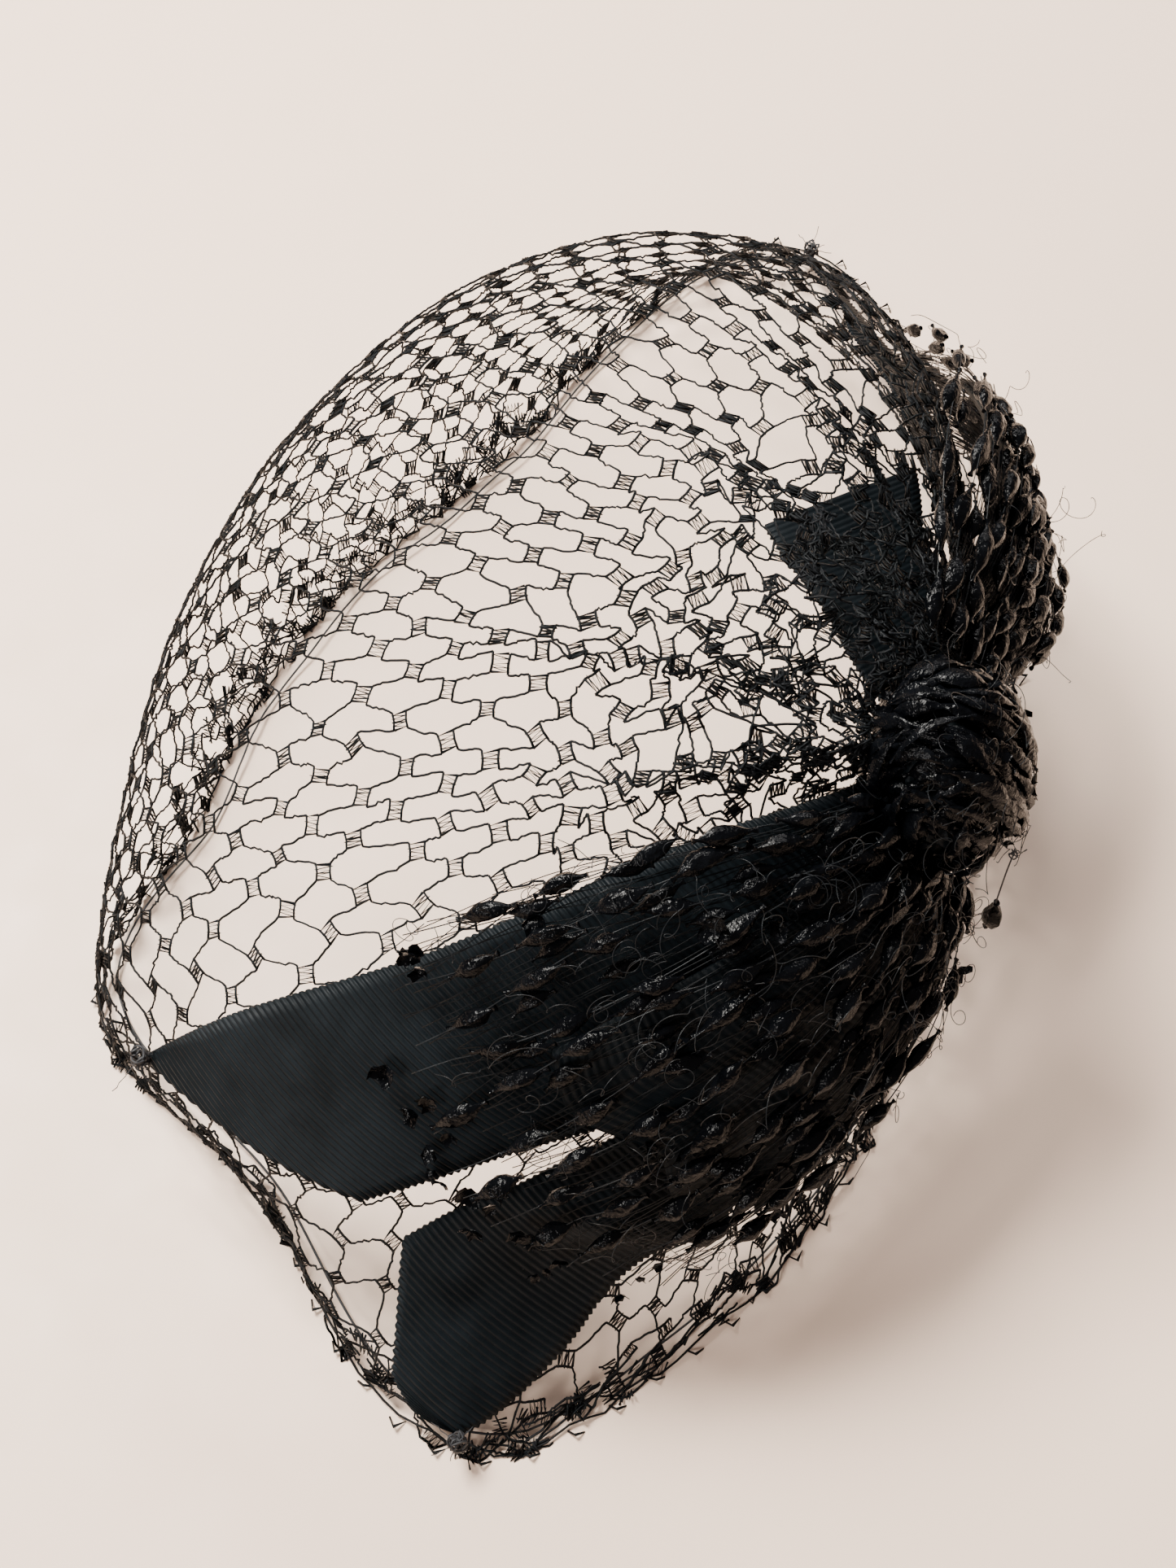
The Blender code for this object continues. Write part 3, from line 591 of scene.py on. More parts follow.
def build_net():
    net = Net()
    random = net.random
    row, column = np.meshgrid(np.arange(net.rows), np.arange(NET_COLUMNS), indexing="ij")
    cells = column + 0.5 * (row % 2) + 0.6
    angle = net.row_angle[row]
    reach = net.reach_at(angle)
    distance = net.at(cells)
    crushed = smoothstep((76 * MM - distance) / (40 * MM))
    angle = angle + random.normal(0, 1, row.shape) * (0.09 + 0.5 * crushed) * net.row_turn[row]
    distance = distance + random.normal(0, 1, row.shape) * (0.5 + 1.2 * crushed) * MM
    alive = (distance < reach + HEM_DEPTH) & (distance > 4 * MM)
    in_hem = distance > reach - 7 * MM
    centre, rail, rung = tie_frames(net, angle, distance, 0.15 + 0.6 * crushed + 0.35 * in_hem)
    size = random.uniform(0.85, 1.15, row.shape)[..., None]
    crowd = 1 - 0.3 * smoothstep((40 * MM - distance) / (30 * MM))[..., None]
    half_length = TIE_HALF_LENGTH * size * crowd
    half_width = TIE_HALF_WIDTH * random.uniform(0.85, 1.2, row.shape)[..., None] * crowd
    corner = {(s, e): centre + rung * half_width * s + rail * half_length * e
              for s in (-1, 1) for e in (-1, 1)}
    body, hem = Builder(), Builder()
    for which, chosen in ((body, alive & ~in_hem), (hem, alive & in_hem)):
        add_ties(net, which, np.nonzero(chosen), corner, (centre, rail, rung, half_length, half_width))
    for s in (-1, 1):
        shift = np.where(row % 2 == 0, (s - 1) // 2, (s + 1) // 2)
        next_row = (row + 1) % net.rows
        next_column = np.clip(column + shift, 0, NET_COLUMNS - 1)
        joined = alive & alive[next_row, next_column] & (column + shift == next_column)
        for which, chosen in ((body, joined & ~in_hem), (hem, joined & in_hem)):
            near = np.nonzero(chosen)
            add_threads(net, which, s, near, (next_row[near], next_column[near]), corner, rail, rung)
    return net, body, hem


def add_rim(net, builder):
    """The rim's own thread, the extra ties bunched along the turned edge, and its points of thread."""
    random = random_for("rim")
    angle = np.linspace(0, 2 * np.pi, RIM_SAMPLES)
    inset = 1.0 * MM + 0.9 * MM * np.sin(9 * angle + 1) + 0.6 * MM * np.sin(37 * angle + 2)
    points = net.place(angle, net.reach_at(angle) - inset) + random.normal(0, 0.12, (RIM_SAMPLES, 3)) * MM
    points[-1] = points[0]
    add_tubes(builder, points[None], NET_THREAD)
    rim = run_of(net.lookup(angle, np.ones(RIM_SAMPLES)))
    spots = np.interp(random.uniform(0, rim[-1], RIM_TIES), rim, angle)
    depth = random.uniform(0.2, 8.5, RIM_TIES) * MM
    centre, rail, rung = tie_frames(net, spots, net.reach_at(spots) - depth, np.full(RIM_TIES, 0.55))
    size = random.uniform(0.7, 1.2, (RIM_TIES, 1))
    laces = zigzag(centre, rail * size * TIE_HALF_LENGTH, rung * size * TIE_HALF_WIDTH, 9, 1)
    add_tubes(builder, laces + random.normal(0, 0.1, laces.shape) * MM, NET_THREAD)
    share = np.linspace(-1, 1, 9)
    length = random.uniform(1.5, 4.5, (RIM_TIES, 1)) * MM
    speed = np.gradient(rim, angle)
    along = spots[:, None] + share * length / np.interp(spots, angle, speed)[:, None]
    drift = depth[:, None] + random.normal(0, 1.4, (RIM_TIES, 1)) * share * MM
    strands = net.place(along, net.reach_at(along) - drift)
    add_tubes(builder, strands + random.normal(0, 0.12, strands.shape) * MM, NET_THREAD * 0.9)
    spots = np.interp(np.arange(0, rim[-1], 7.5 * MM), rim, angle)
    foot = net.lookup(spots, np.ones(len(spots)))
    out = unit((foot - HEART) * (1, 1, 0))
    tip = out * random.uniform(0.5, 1.9, (len(spots), 1)) * MM + (0, 0, 1.2 * MM)
    side = np.cross(out, (0, 0, 1)) * 1.3 * MM
    picots = np.stack([foot + side, foot + tip, foot - side, foot + tip * 0.9 + side * 0.15], 1)
    add_tubes(builder, picots, NET_THREAD)


# ---- ribbons ----

def ribbed(grid, normal, run, thickness, random):
    """Outer and inner grids of a ribbon whose ribs cross it every RIB_PITCH."""
    weave = random.normal(0, 1, run.shape) * WEAVE_NOISE
    height = RIB_HEIGHT * (np.abs(np.cos(np.pi * run / RIB_PITCH)) - 0.6) + weave
    return grid + normal * (thickness + height)[..., None], grid - normal * (0.4 * height)[..., None]


def ribbon_grid(tail):
    """Rows square across a tail, a sixth of a rib apart, each clipped by the slanting cut."""
    upper, lower = selvedge(tail["upper"]), selvedge(tail["lower"])
    ends = np.array(tail["ends"]) * MM
    run = np.arange(2 * MM, ends.max() - 0.4 * MM, RIB_PITCH / 6)
    shortest, longest = ends.min(), ends.max()
    beyond = np.clip((run - shortest) / (longest - shortest), 0, 1)
    low = np.where(ends[0] > ends[1], 0.0, beyond)
    high = np.where(ends[0] > ends[1], 1 - beyond, 1.0)
    share = low[:, None] + (high - low)[:, None] * np.linspace(0, 1, TAIL_COLUMNS)[None]
    run = np.broadcast_to(run[:, None], share.shape)
    return on_dome(blend(point_at(*upper, run), point_at(*lower, run), share[..., None])), run, share


def picot(grid, run):
    """Pushes the two edges of a ribbon in and out once a rib."""
    wave = PICOT_DEPTH * np.cos(2 * np.pi * run[:, 0] / RIB_PITCH)[:, None]
    grid[:, 0] += unit(grid[:, 0] - grid[:, 2]) * wave
    grid[:, -1] += unit(grid[:, -1] - grid[:, -3]) * wave
    return grid


def ribbon_piece(name, look, sides):
    builder = Builder()
    add_sheet(builder, *sides)
    return builder.make(name, look)


def tail_piece(name, tail, look, random):
    grid, run, share = ribbon_grid(tail)
    normal = dome_normal(grid)
    grid = picot(grid, run)
    lift = np.full(run.shape, tail["offset"])
    lift += 0.5 * MM * np.sin(run / (17 * MM) + 2 * share) + 0.3 * MM * np.sin(run / (7 * MM) + 5 * share)
    if tail["crease"]:
        line = blend(*tail["crease"], share) * MM
        ridge = np.exp(-((run - line) / (5.5 * MM)) ** 2)
        trough = np.exp(-((run - line - 13 * MM) / (9 * MM)) ** 2)
        lift += 3.0 * MM * ridge * smoothstep(0.3 + share) - 0.8 * MM * trough
    return ribbon_piece(name, look, ribbed(grid + normal * lift[..., None], normal, run, 0.45 * MM, random))


def inner_tail_piece(look, random):
    corner = np.array(INNER_TAIL_MM) * MM
    length, width = np.meshgrid(np.linspace(0, 1, 170), np.linspace(0, 1, 13), indexing="ij")
    along = length[..., None]
    grid = blend(blend(corner[0], corner[1], along), blend(corner[3], corner[2], along), width[..., None])
    normal = unit(np.cross(corner[2] - corner[0], corner[3] - corner[1]))
    bow = 1.5 * MM * np.sin(np.pi * width) * np.sin(np.pi * length)
    bow += 0.5 * MM * np.sin(9 * length + 3 * width)
    grid = grid + normal * bow[..., None]
    run = length * np.linalg.norm(corner[1] - corner[0])
    grid = picot(grid, run)
    normal = np.broadcast_to(normal, grid.shape)
    return ribbon_piece("inner_tail", look, ribbed(grid, normal, run, 0.4 * MM, random))


# ---- beads ----

def add_bead(builder, spine, out, radius, random, squeeze=0.85, crinkle=0.035):
    """A spindle of crumpled cellophane along a spine: pinched, flared ends and twisted creases."""
    rings, sides = len(BEAD_PROFILE), BEAD_SIDES
    along = np.linspace(-0.5, 0.5, rings)
    turn = 2 * np.pi * np.arange(sides) / sides
    phase = random.uniform(0, 2 * np.pi, 3)
    theta = turn[None] + random.uniform(-1.8, 1.8) * along[:, None]
    crumple = 1 + 0.07 * np.cos(3 * theta + phase[0])
    crumple += 0.06 * np.cos(5 * theta + phase[1] + 4 * along[:, None])
    crumple += random.normal(0, crinkle, theta.shape)
    skew = 1 + random.uniform(-0.18, 0.18) * np.sin(2 * np.pi * along)
    size = radius * (BEAD_PROFILE * skew)[:, None] * crumple
    squeeze = squeeze * random.uniform(0.85, 1.12)
    axis = unit(np.gradient(spine, axis=0))
    second = unit(np.cross(axis, out))
    third = np.cross(second, axis)
    spin = np.array(random.uniform(-0.5, 0.5))
    second, third = turned(second, third, spin), turned(third, -second, spin)
    bend = random.normal(0, 0.3, 2) * MM
    arc = (1 - 4 * along**2)[:, None, None]
    second, third = second[:, None], third[:, None]
    points = spine[:, None] + second * (size * np.cos(turn))[..., None]
    points = points + third * (size * np.sin(turn) * squeeze)[..., None]
    points = points + (second * bend[0] + third * bend[1]) * arc
    i = (np.arange(rings - 1) * sides)[:, None]
    j = np.arange(sides)[None]
    k = (j + 1) % sides
    quads = np.stack([i + j, i + k, i + sides + k, i + sides + j], -1).reshape(-1, 4)
    caps = np.stack([np.arange(sides)[::-1], np.arange(sides) + (rings - 1) * sides])
    builder.add(points, quads, caps)


def straight(centre, axis, length):
    """The straight spine of a bead."""
    return centre + unit(np.asarray(axis)) * (np.linspace(-0.5, 0.5, len(BEAD_PROFILE)) * length)[:, None]


def add_flake(builder, centre, out, size, random):
    """A torn scrap of cellophane: a small bent sheet."""
    axis = unit(np.cross(out, random.normal(0, 1, 3)))
    other = unit(np.cross(axis, out) + out * random.uniform(-0.6, 0.8))
    u, v = np.meshgrid(np.linspace(-0.5, 0.5, 5), np.linspace(-0.5, 0.5, 4), indexing="ij")
    curl = random.uniform(0.5, 1.6)
    grid = (centre + axis * (u * size * (1 - 0.5 * np.abs(v)))[..., None]
            + other * (v * size * 0.6)[..., None] + out * (size * curl * (u * u + 0.4 * v * v))[..., None])
    grid = grid + random.normal(0, 0.05, grid.shape) * size
    add_sheet(builder, grid + out * 0.06 * MM, grid - out * 0.06 * MM)


def string_piece(name, line, look, random, stagger, bead=(BEAD_RADIUS, BEAD_LENGTH, BEAD_PITCH)):
    """A row of spindle beads strung along a line, some askew; bead is their radius, length and pitch."""
    radius, bead_length, pitch = bead
    builder = Builder()
    run = run_of(line)
    at = pitch * (0.45 + stagger) + random.normal(0, 0.6) * MM
    while at < run[-1] - 0.3 * pitch:
        centre = point_at(run, line, at)
        axis = unit(point_at(run, line, at + 2 * MM) - point_at(run, line, at - 2 * MM))
        out = unit(centre - HEART)
        axis = unit(axis + random.normal(0, 0.1, 3))
        centre = centre + random.normal(0, 0.3, 3) * MM
        length = bead_length * random.uniform(0.86, 1.12)
        add_bead(builder, straight(centre, axis, length), out, radius * random.uniform(0.85, 1.12), random)
        at += pitch * random.uniform(0.9, 1.12)
    return builder.make(name, look, SHARP_FOLD)


# ---- wings ----

def wing_point(wing, along, across, height=0.0):
    along, across = np.asarray(along), np.asarray(across)
    edges = []
    for edge in ("upper", "lower"):
        path = np.array(wing[edge]) * MM
        last = (path[-1] - smooth_path(path, 0.94)) / 0.06
        first = (smooth_path(path, 0.06) - path[0]) / 0.06
        edges.append(smooth_path(path, np.clip(along, 0, 1)) + last * np.maximum(along - 1, 0)[..., None]
                     + first * np.minimum(along, 0)[..., None])
    base = on_dome(blend(*edges, across[..., None]))
    low, high = wing["arch"]
    arch = wing["foot"] + (low + (high - low) * across) * np.sin(np.pi * np.clip(along, 0, 1)) ** 0.7
    return base + dome_normal(base) * (arch + height)[..., None]


def wing_spot(wing, along, across, height=0.0):
    return wing_point(wing, np.array([along]), np.array([across]), height)[0]


def crin_piece(name, wing, look, random):
    """Open horsehair braid: two sets of slanting filaments, ragged at the free end."""
    lines = []
    for slant in (-1, 1):
        for start in np.linspace(-0.15, 1.15, 40):
            along = np.linspace(0.0, 1.02 + random.uniform(-0.05, 0.05), 26)
            across = start + slant * 0.12 * along + 0.012 * np.sin(9 * along + start * 20)
            keep = (across > -0.01) & (across < 1.01)
            if keep.sum() < 4:
                continue
            span = np.linspace(along[keep][0], along[keep][-1], 20)
            cross = np.interp(span, along, across)
            lines.append(wing_point(wing, span, cross, random.normal(0, 0.1) * MM + 0.15 * MM * slant))
    for across in np.linspace(0, 1, 30):
        span = np.linspace(0, 1.0 + random.uniform(-0.04, 0.06), 20)
        lines.append(wing_point(wing, span, np.full(20, across), random.normal(0, 0.12) * MM))
    return tubes_piece(name, look, (lines, FILAMENT * 1.3, 3))


def loop_piece(name, wing, look, random):
    """The ribbon loop under the beads, gathered into the knot and ribbed across its length."""
    reach, across_from = wing["loop"]
    length = np.linalg.norm(wing_spot(wing, 1.0, 0.5) - wing_spot(wing, 0.0, 0.5))
    rows = int(reach * length / RIB_PITCH * 5)
    across = np.linspace(across_from, 0.99, 31)
    along, across = np.meshgrid(np.linspace(-0.06, reach, rows), across, indexing="ij")
    gather = 0.7 * MM * np.sin(across * 26 + 3 * along) * smoothstep((0.75 - along) / 0.6)
    ragged = 1 + 0.03 * np.sin(across * 19) * smoothstep(along / reach * 2 - 1)
    grid = wing_point(wing, along * ragged, across, gather - 1.1 * MM)
    return ribbon_piece(name, look, ribbed(grid, unit(grid - HEART), along * length, 0.35 * MM, random))


def filament_line(anchor, out, heading, random, span, loops):
    """A springy filament: it leaves its anchor, curls over itself and comes back down."""
    t = np.linspace(0, 1, 34)
    side = unit(np.cross(out, heading))
    radius = random.uniform(0.8, 2.8) * MM
    turn = 2 * np.pi * loops * t + random.uniform(*PHASES)
    drift = heading * (span * t)[:, None] + side * (span * random.uniform(-0.3, 0.3) * t * t)[:, None]
    curl = turned(heading, side, turn) * (radius * np.sin(np.pi * t))[:, None]
    rise = out * (random.uniform(0.8, 1.8) * MM * np.sin(np.pi * t) ** 0.8)[:, None]
    return anchor + drift + curl + rise


def filaments_piece(name, wing, look, random, threads):
    """The threads of a wing's bead strings, and the springy filaments that curl out between them."""
    lines = []
    for _ in range(wing["curls"]):
        along, across = random.uniform(0.05, 1.0), random.uniform(-0.02, 1.0)
        anchor = wing_spot(wing, along, across, 2.8 * MM)
        ahead = wing_spot(wing, min(along + 0.04, 1.0), across + 0.001, 2.8 * MM)
        out = unit(anchor - HEART)
        heading = unit(ahead - anchor + random.normal(0, 2.0, 3) * MM)
        lines.append(filament_line(anchor, out, heading, random, random.uniform(2, 11) * MM,
                                   random.choice((0.5, 1.0, 1.2, 1.5))))
    return tubes_piece(name, look, (threads, BEAD_THREAD), (lines, FILAMENT, 3))


def scraps_piece(name, wing, look, random):
    """Torn scraps of cellophane, half of them along the free end."""
    scraps = Builder()
    for _ in range(wing["scraps"]):
        along = random.choice((random.normal(1.0, 0.04), random.uniform(0.2, 1)))
        across = random.uniform(*wing["lanes"])
        bulge = wing["bulge"] * np.sin(np.pi * np.clip(across, 0, 1)) * (along > 0.9)
        spot = wing_spot(wing, along + bulge, across, random.uniform(0, 2.4) * MM)
        add_flake(scraps, spot, unit(spot - HEART), random.uniform(2.0, 4.5) * MM, random)
    return scraps.make(name, look, SHARP_FOLD)


def build_wing(name, wing, looks):
    random = np.random.default_rng(sum(map(ord, name)))
    threads = []
    first, last = wing["lanes"]
    for k in range(wing["strings"]):
        lane = first + (last - first) * k / (wing["strings"] - 1)
        bulge = wing["bulge"] * np.sin(np.pi * np.clip(lane, 0, 1))
        end = wing["end"] + bulge - wing["trim"] * smoothstep(0.9 - 1.8 * lane)
        fine = np.linspace(wing["start"], end, 74)
        phase = random.uniform(*PHASES)
        cross = lane + 0.02 * np.sin(7 * fine + phase)
        line = wing_point(wing, fine, cross, 2.0 * MM + 0.4 * MM * np.sin(11 * fine + phase))
        threads.append(line)
        piece = string_piece(f"{name}_beads_{k + 1}", line, looks["cellophane"], random, 0.5 * (k % 2))
        node = f"{name}_string_{k + 1}"
        settle(piece, name, node if node in CAD_NODES else None)
    for k in range(wing["strings"] - 1):
        lane = first + (last - first) * (k + 0.5) / (wing["strings"] - 1)
        fine = np.linspace(wing["start"], 0.93, 60)
        line = wing_point(wing, fine, lane + 0.01 * np.sin(8 * fine + k), 0.6 * MM)
        piece = string_piece(f"{name}_under_beads_{k + 1}", line, looks["cellophane"], random,
                             random.uniform(0, 0.8), UNDER_BEAD)
        settle(piece, name)
    settle(crin_piece(name + "_crin", wing, looks["crin"], random), name, name + "_cloth")
    settle(filaments_piece(name + "_filaments", wing, looks["filament"], random, threads), name)
    settle(scraps_piece(name + "_scraps", wing, looks["cellophane"], random), name)


# ---- the knot ----

def knot_frame():
    foot = on_dome(KNOT_FOOT[None])
    out = dome_normal(foot)[0]
    along = unit(np.array((1.0, 0.0, 0.0)) - out * out[0])
    down = np.cross(along, out)
    down *= -np.sign(down[2])
    axes = np.array((along, down, out))
    return foot[0] + KNOT_HEIGHT @ axes, axes


def knot_spot(longitude, latitude, swell):
    return knot_surface(np.array([longitude]), np.array([latitude]), swell)[0]


def knot_surface(longitude, latitude, swell=0.0):
    centre, axes = knot_frame()
    radii = KNOT_RADII + KNOT_GROWTH + swell
    local = np.stack([radii[0] * np.sin(latitude), radii[1] * np.cos(latitude) * np.sin(longitude),
                      radii[2] * np.cos(latitude) * np.cos(longitude)], -1)
    return centre + local @ axes


def knot_core(look):
    """Gathered cloth: a bolster with folds running along the bow."""
    random = random_for("knot_core")
    turns, bands = 64, 34
    longitude, latitude = np.meshgrid(2 * np.pi * np.arange(turns) / turns, np.linspace(-1.5, 1.5, bands),
                                      indexing="ij")
    folds = 0.7 * MM * np.sin(9 * longitude + 2 * np.sin(3 * latitude))
    folds += 0.4 * MM * np.sin(17 * longitude + 5 * latitude)
    points = knot_surface(longitude, latitude, -0.6 * MM)
    centre, _ = knot_frame()
    points = points + unit(points - centre) * (folds + random.normal(0, 0.08, folds.shape) * MM)[..., None]
    builder = Builder()
    a = (np.arange(turns) * bands)[:, None] + np.arange(bands - 1)[None]
    b = (((np.arange(turns) + 1) % turns) * bands)[:, None] + np.arange(bands - 1)[None]
    quads = np.stack([a, a + 1, b + 1, b], -1).reshape(-1, 4)
    ends = np.stack([np.arange(turns) * bands, (np.arange(turns) * bands + bands - 1)[::-1]])
    builder.add(points, quads, ends)
    return builder.make("knot_core", look)


def build_wraps(look, random, centre):
    """Crumpled strips wound over the knot in three layers, each layer a row of beads end to end."""
    layers = ((0.6 * MM, 15, 1.2 * MM), (1.5 * MM, KNOT_WRAPS + 8, 1.25 * MM), (2.2 * MM, 10, 1.15 * MM))
    for layer, (swell, lanes, radius) in enumerate(layers):
        for k, latitude in enumerate(np.linspace(-1.05, 1.05, lanes)):
            builder = Builder()
            start = -3.0 + random.uniform(0, 0.5)
            while start < 1.5:
                reach = random.uniform(0.75, 1.15)
                sweep = start + reach * np.linspace(0, 1, len(BEAD_PROFILE))
                tilt = 0.22 * sweep + random.normal(0, 0.13) + random.normal(0, 0.25) * (sweep - start)
                height = swell + random.normal(0, 0.7) * MM
                spine = knot_surface(sweep, np.clip(latitude + tilt, -1.45, 1.45), height)
                size = radius * random.uniform(0.6, 1.3)
                add_bead(builder, spine, unit(spine - centre), size, random, 0.6, 0.16)
                start += reach * random.uniform(0.72, 0.95)
            node = f"knot_wrap_{k + 1}" if layer == 1 and k < KNOT_WRAPS else None
            settle(builder.make(f"knot_wraps_{layer + 1}_{k + 1}", look, 60), "hat", node)


def build_knot(looks):
    random = random_for("knot")
    settle(knot_core(looks["grosgrain"]), "hat", "bow_knot")
    centre, axes = knot_frame()
    build_wraps(looks["cellophane"], random, centre)
    scraps = Builder()
    for _ in range(40):
        spot = knot_spot(random.uniform(-2.8, 1.6), random.uniform(-1.2, 1.2), 2.2 * MM)
        add_flake(scraps, spot, unit(spot - centre), random.uniform(2.0, 4.0) * MM, random)
    settle(scraps.make("knot_scraps", looks["cellophane"], SHARP_FOLD), "hat")
    lines = []
    for _ in range(110):
        anchor = knot_spot(random.uniform(-2.8, 1.8), random.uniform(-1.2, 1.2), 1.8 * MM)
        heading = unit(axes[1] * random.choice((-1, 1)) + axes[0] * random.normal(0, 0.8))
        lines.append(filament_line(anchor, unit(anchor - centre), heading, random, random.uniform(3, 10) * MM,
                                   random.choice((0.5, 1.0))))
    settle(tubes_piece("knot_filaments", looks["filament"], (lines, FILAMENT, 3)), "hat")


def coil_line(centre, radius, turns, random, count=90):
    """A tangle of thread wound round a point."""
    t = np.linspace(0, 1, count)
    a = 2 * np.pi * turns * t
    tilt = random.uniform(*PHASES, 3)
    wobble = np.stack([np.cos(a) * np.cos(0.7 * a + tilt[0]), np.sin(a) * np.cos(0.5 * a + tilt[1]),
                       np.sin(0.8 * a + tilt[2])], -1)
    return centre + wobble * radius


def node_centre(name):
    low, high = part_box(name)
    return (np.array(low) + np.array(high)) / 2 + ORIGIN


def dome_plane(foot):
    """The dome's normal at a point, and two directions square to it."""
    out = dome_normal(foot[None])[0]
    side = unit(np.cross(out, (0.0, 0.0, 1.0)))
    return out, side, np.cross(side, out)


def build_stitches(look):
    """At each ribbon's tip, a knot of thread with loose ends."""
    random = random_for("stitches")
    for side in ("near_back", "near_front", "far_front"):
        centre = node_centre("tack_" + side)
        coil = coil_line(centre, 1.5 * MM, 7, random)
        ends = []
        for _ in range(7):
            tip = centre + random.normal(0, 1, 3) * (2.6 * MM, 2.6 * MM, 1.2 * MM)
            ends.append(centre + (tip - centre) * np.linspace(0, 1, 8)[:, None]
                        + random.normal(0, 0.1, (8, 3)) * MM)
        piece = tubes_piece("stitch_" + side, look, ([coil], 0.22 * MM), (ends, FILAMENT * 1.2, 3))
        settle(piece, "hat", "tack_" + side)


def build_gather_stitch(look):
    """The thread that gathers the net behind the knot, in four turns."""
    a = np.linspace(0, 2 * np.pi * 4, 120)
    foot = on_dome(KNOT_FOOT[None])[0]
    out, side, up = dome_plane(foot)
    middle = foot - out * 3.4 * MM
    coil = (middle + turned(side, up, a) * (6 + 0.4 * np.sin(3.3 * a))[:, None] * MM
            + out * (0.5 * MM * np.sin(0.27 * a))[:, None])
    settle(tubes_piece("gather_stitch", look, ([coil], 0.25 * MM)), "hat", "gather_thread")


def build_drawcord(net, look):
    """The dark line that follows the rim inside the hem."""
    angle = np.linspace(0, 2 * np.pi, RIM_SAMPLES)
    line = net.lookup(angle, 1 - 1.2 * MM / net.reach_at(angle))
    inward = unit(HEART * (1, 1, 0) - line * (1, 1, 0))
    line = line + inward * (3.4 * MM + 0.5 * MM * np.sin(13 * angle))[:, None]
    line[:, 2] = 1.3 * MM + 0.4 * MM * np.sin(17 * angle)
    settle(tubes_piece("rim_drawcord", look, ([line], 0.2 * MM, 6)), "hat", "rim_cord")


def build_tuft(look):
    """The bunch of net drawn up into the knot."""
    random = random_for("tuft")
    foot = on_dome((KNOT_FOOT + (4 * MM, 0, 0))[None])[0]
    out, side, up = dome_plane(foot)
    t = np.linspace(0, 1, 12)
    lines = []
    for _ in range(420):
        angle, start = np.array(random.uniform(0, 2 * np.pi)), random.uniform(8, 26) * MM
        radial = turned(side, up, angle)
        run = start * (1 - t) ** 1.3
        base = on_dome(foot + radial * run[:, None]) + out * (5.0 * MM * t**2 + 0.8 * MM)[:, None]
        swirl = turned(-up, side, angle) * (random.normal(0, 1.6) * MM * np.sin(3 * t))[:, None]
        lines.append(base + swirl + random.normal(0, 0.35, (12, 3)) * MM)
    settle(tubes_piece("net_gather", look, (lines, NET_THREAD)), "hat", "net_tuft")


def build_loose_bead(looks):
    """The one bead that hangs free, on a thread knotted at the top."""
    random = random_for("loose_bead")
    low, high = (np.array(c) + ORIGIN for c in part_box("loose_thread"))
    top = (low + high) / 2
    top[2] = high[2] + 1.2 * MM
    t = np.linspace(0, 1, 20)
    bottom = node_centre("loose_bead")
    line = top + (bottom - top) * t[:, None]
    line[:, 0] += 0.5 * MM * np.sin(5 * t)
    knot = coil_line(top, 0.8 * MM, 3, random, 40)
    thread = tubes_piece("hanging_thread", looks["thread"], ([line], 0.14 * MM), ([knot], 0.12 * MM))
    settle(thread, "loose_bead", "loose_thread")
    builder = Builder()
    spine = straight(bottom, (0.05, 0.03, -1.0), BEAD_LENGTH)
    add_bead(builder, spine, np.array((0.0, -1.0, 0.0)), 1.8 * MM, random)
    settle(builder.make("hanging_bead", looks["cellophane"], SHARP_FOLD), "loose_bead", "loose_bead")


# ---- stage ----

def area_light(name, position, size, power, colour):
    data = bpy.data.lights.new(name, "AREA")
    data.shape = "RECTANGLE"
    data.size, data.size_y = size
    data.energy = power
    data.color = colour
    obj = bpy.data.objects.new(name, data)
    obj.location = position
    obj.rotation_mode = "QUATERNION"
    obj.rotation_quaternion = (Vector(LIT_SPOT) - Vector(position)).to_track_quat("-Z", "Y")
    bpy.context.scene.collection.objects.link(obj)


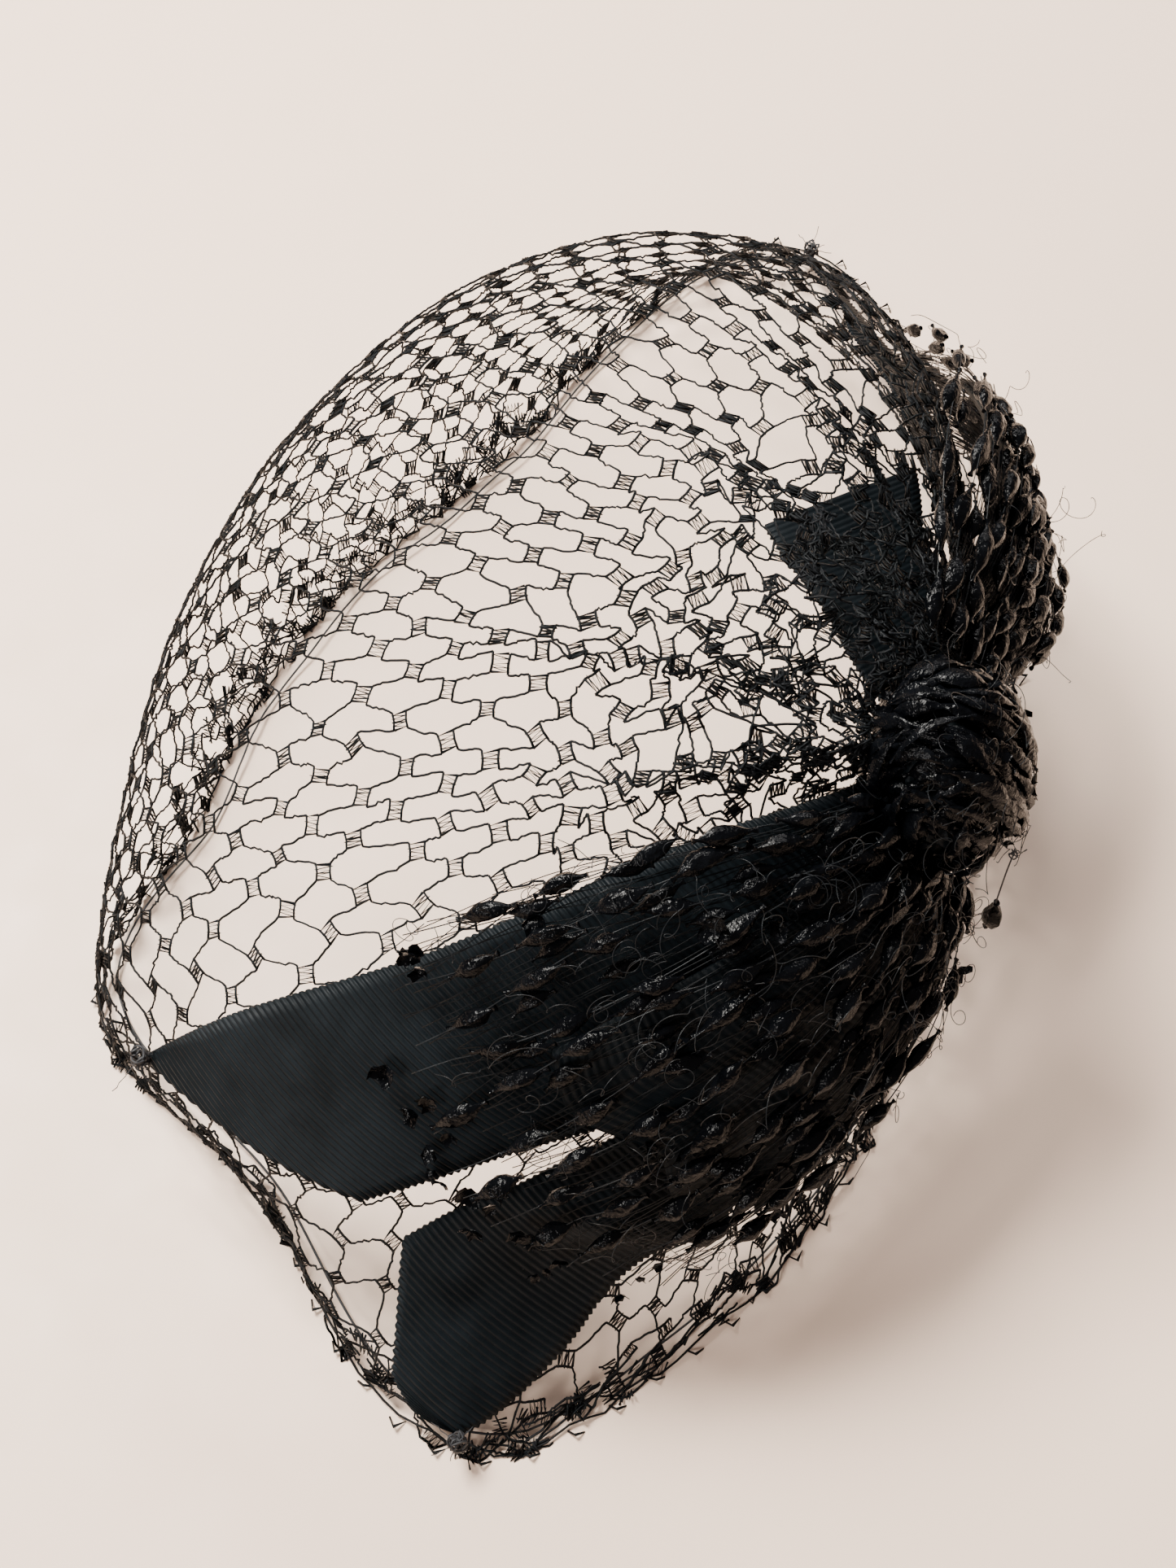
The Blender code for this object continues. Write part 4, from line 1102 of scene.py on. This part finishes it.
def build_stage(look):
    """The plain pale floor, the studio's dim world and three soft lights."""
    builder = Builder()
    corners = np.array(((-1, -1, 0), (1, -1, 0), (1, 1, 0), (-1, 1, 0))) * FLOOR_HALF_SIZE
    builder.add(corners + ORIGIN, np.array([[0, 1, 2, 3]]))
    floor = builder.make("table_top", look)
    floor.location.z = -0.1 * MM
    world = bpy.data.worlds.new("studio")
    bpy.context.scene.world = world
    world.use_nodes = True
    background = world.node_tree.nodes["Background"]
    background.inputs["Color"].default_value = (1.0, 0.84, 0.80, 1)
    background.inputs["Strength"].default_value = 0.25
    area_light("window", (0.18, 0.42, 0.75), (0.35, 0.3), 24.0, (1.0, 0.97, 0.92))
    area_light("near_fill", (-0.9, 0.35, 0.6), (0.25, 0.25), 7.0, (1.0, 0.95, 0.91))
    area_light("far_strip", (0.8, -0.1, 0.8), (0.6, 0.12), 6.0, (1.0, 0.97, 0.95))


def build_camera():
    """Looking down on the hat from beyond its near point."""
    elevation, azimuth = np.radians(60), np.radians(-75.4)
    target = Vector((-0.010, 0.0025, 0.0))
    distance = 0.37
    level = np.cos(elevation)
    ahead = Vector((-np.sin(azimuth) * level, np.cos(azimuth) * level, -np.sin(elevation)))
    right = Vector((np.cos(azimuth), np.sin(azimuth), 0))
    data = bpy.data.cameras.new("camera")
    data.lens = 46.7
    data.sensor_width = 36
    data.clip_start, data.clip_end = 0.01, 20
    obj = bpy.data.objects.new("camera", data)
    up = right.cross(ahead)
    turn = Matrix((right, up, -ahead)).transposed()
    obj.matrix_world = Matrix.Translation(target - ahead * distance) @ turn.to_4x4()
    bpy.context.scene.collection.objects.link(obj)
    bpy.context.scene.camera = obj


def main():
    looks = {key: surface_look(*settings) for key, settings in LOOKS.items()}
    build_camera()
    net, body, hem = build_net()
    add_rim(net, hem)
    settle(body.make("net_cap", looks["net"]), "hat", "veil_net")
    settle(hem.make("net_hem", looks["net"]), "hat", "rim_hem")
    random = random_for("ribbons")
    for name, tail in TAILS.items():
        piece = tail_piece(name + "_ribbon", tail, looks["grosgrain"], random)
        settle(piece, "hat", name)
    piece = inner_tail_piece(looks["grosgrain"], random)
    settle(piece, "hat", "tail_inner")
    for name, wing in WINGS.items():
        build_wing(name, wing, looks)
        loop = loop_piece(name + "_loop", wing, looks["grosgrain"], random)
        settle(loop, name)
    build_knot(looks)
    build_tuft(looks["net"])
    build_stitches(looks["thread"])
    build_gather_stitch(looks["thread"])
    build_drawcord(net, looks["thread"])
    build_loose_bead(looks)
    build_stage(looks["table"])


main()
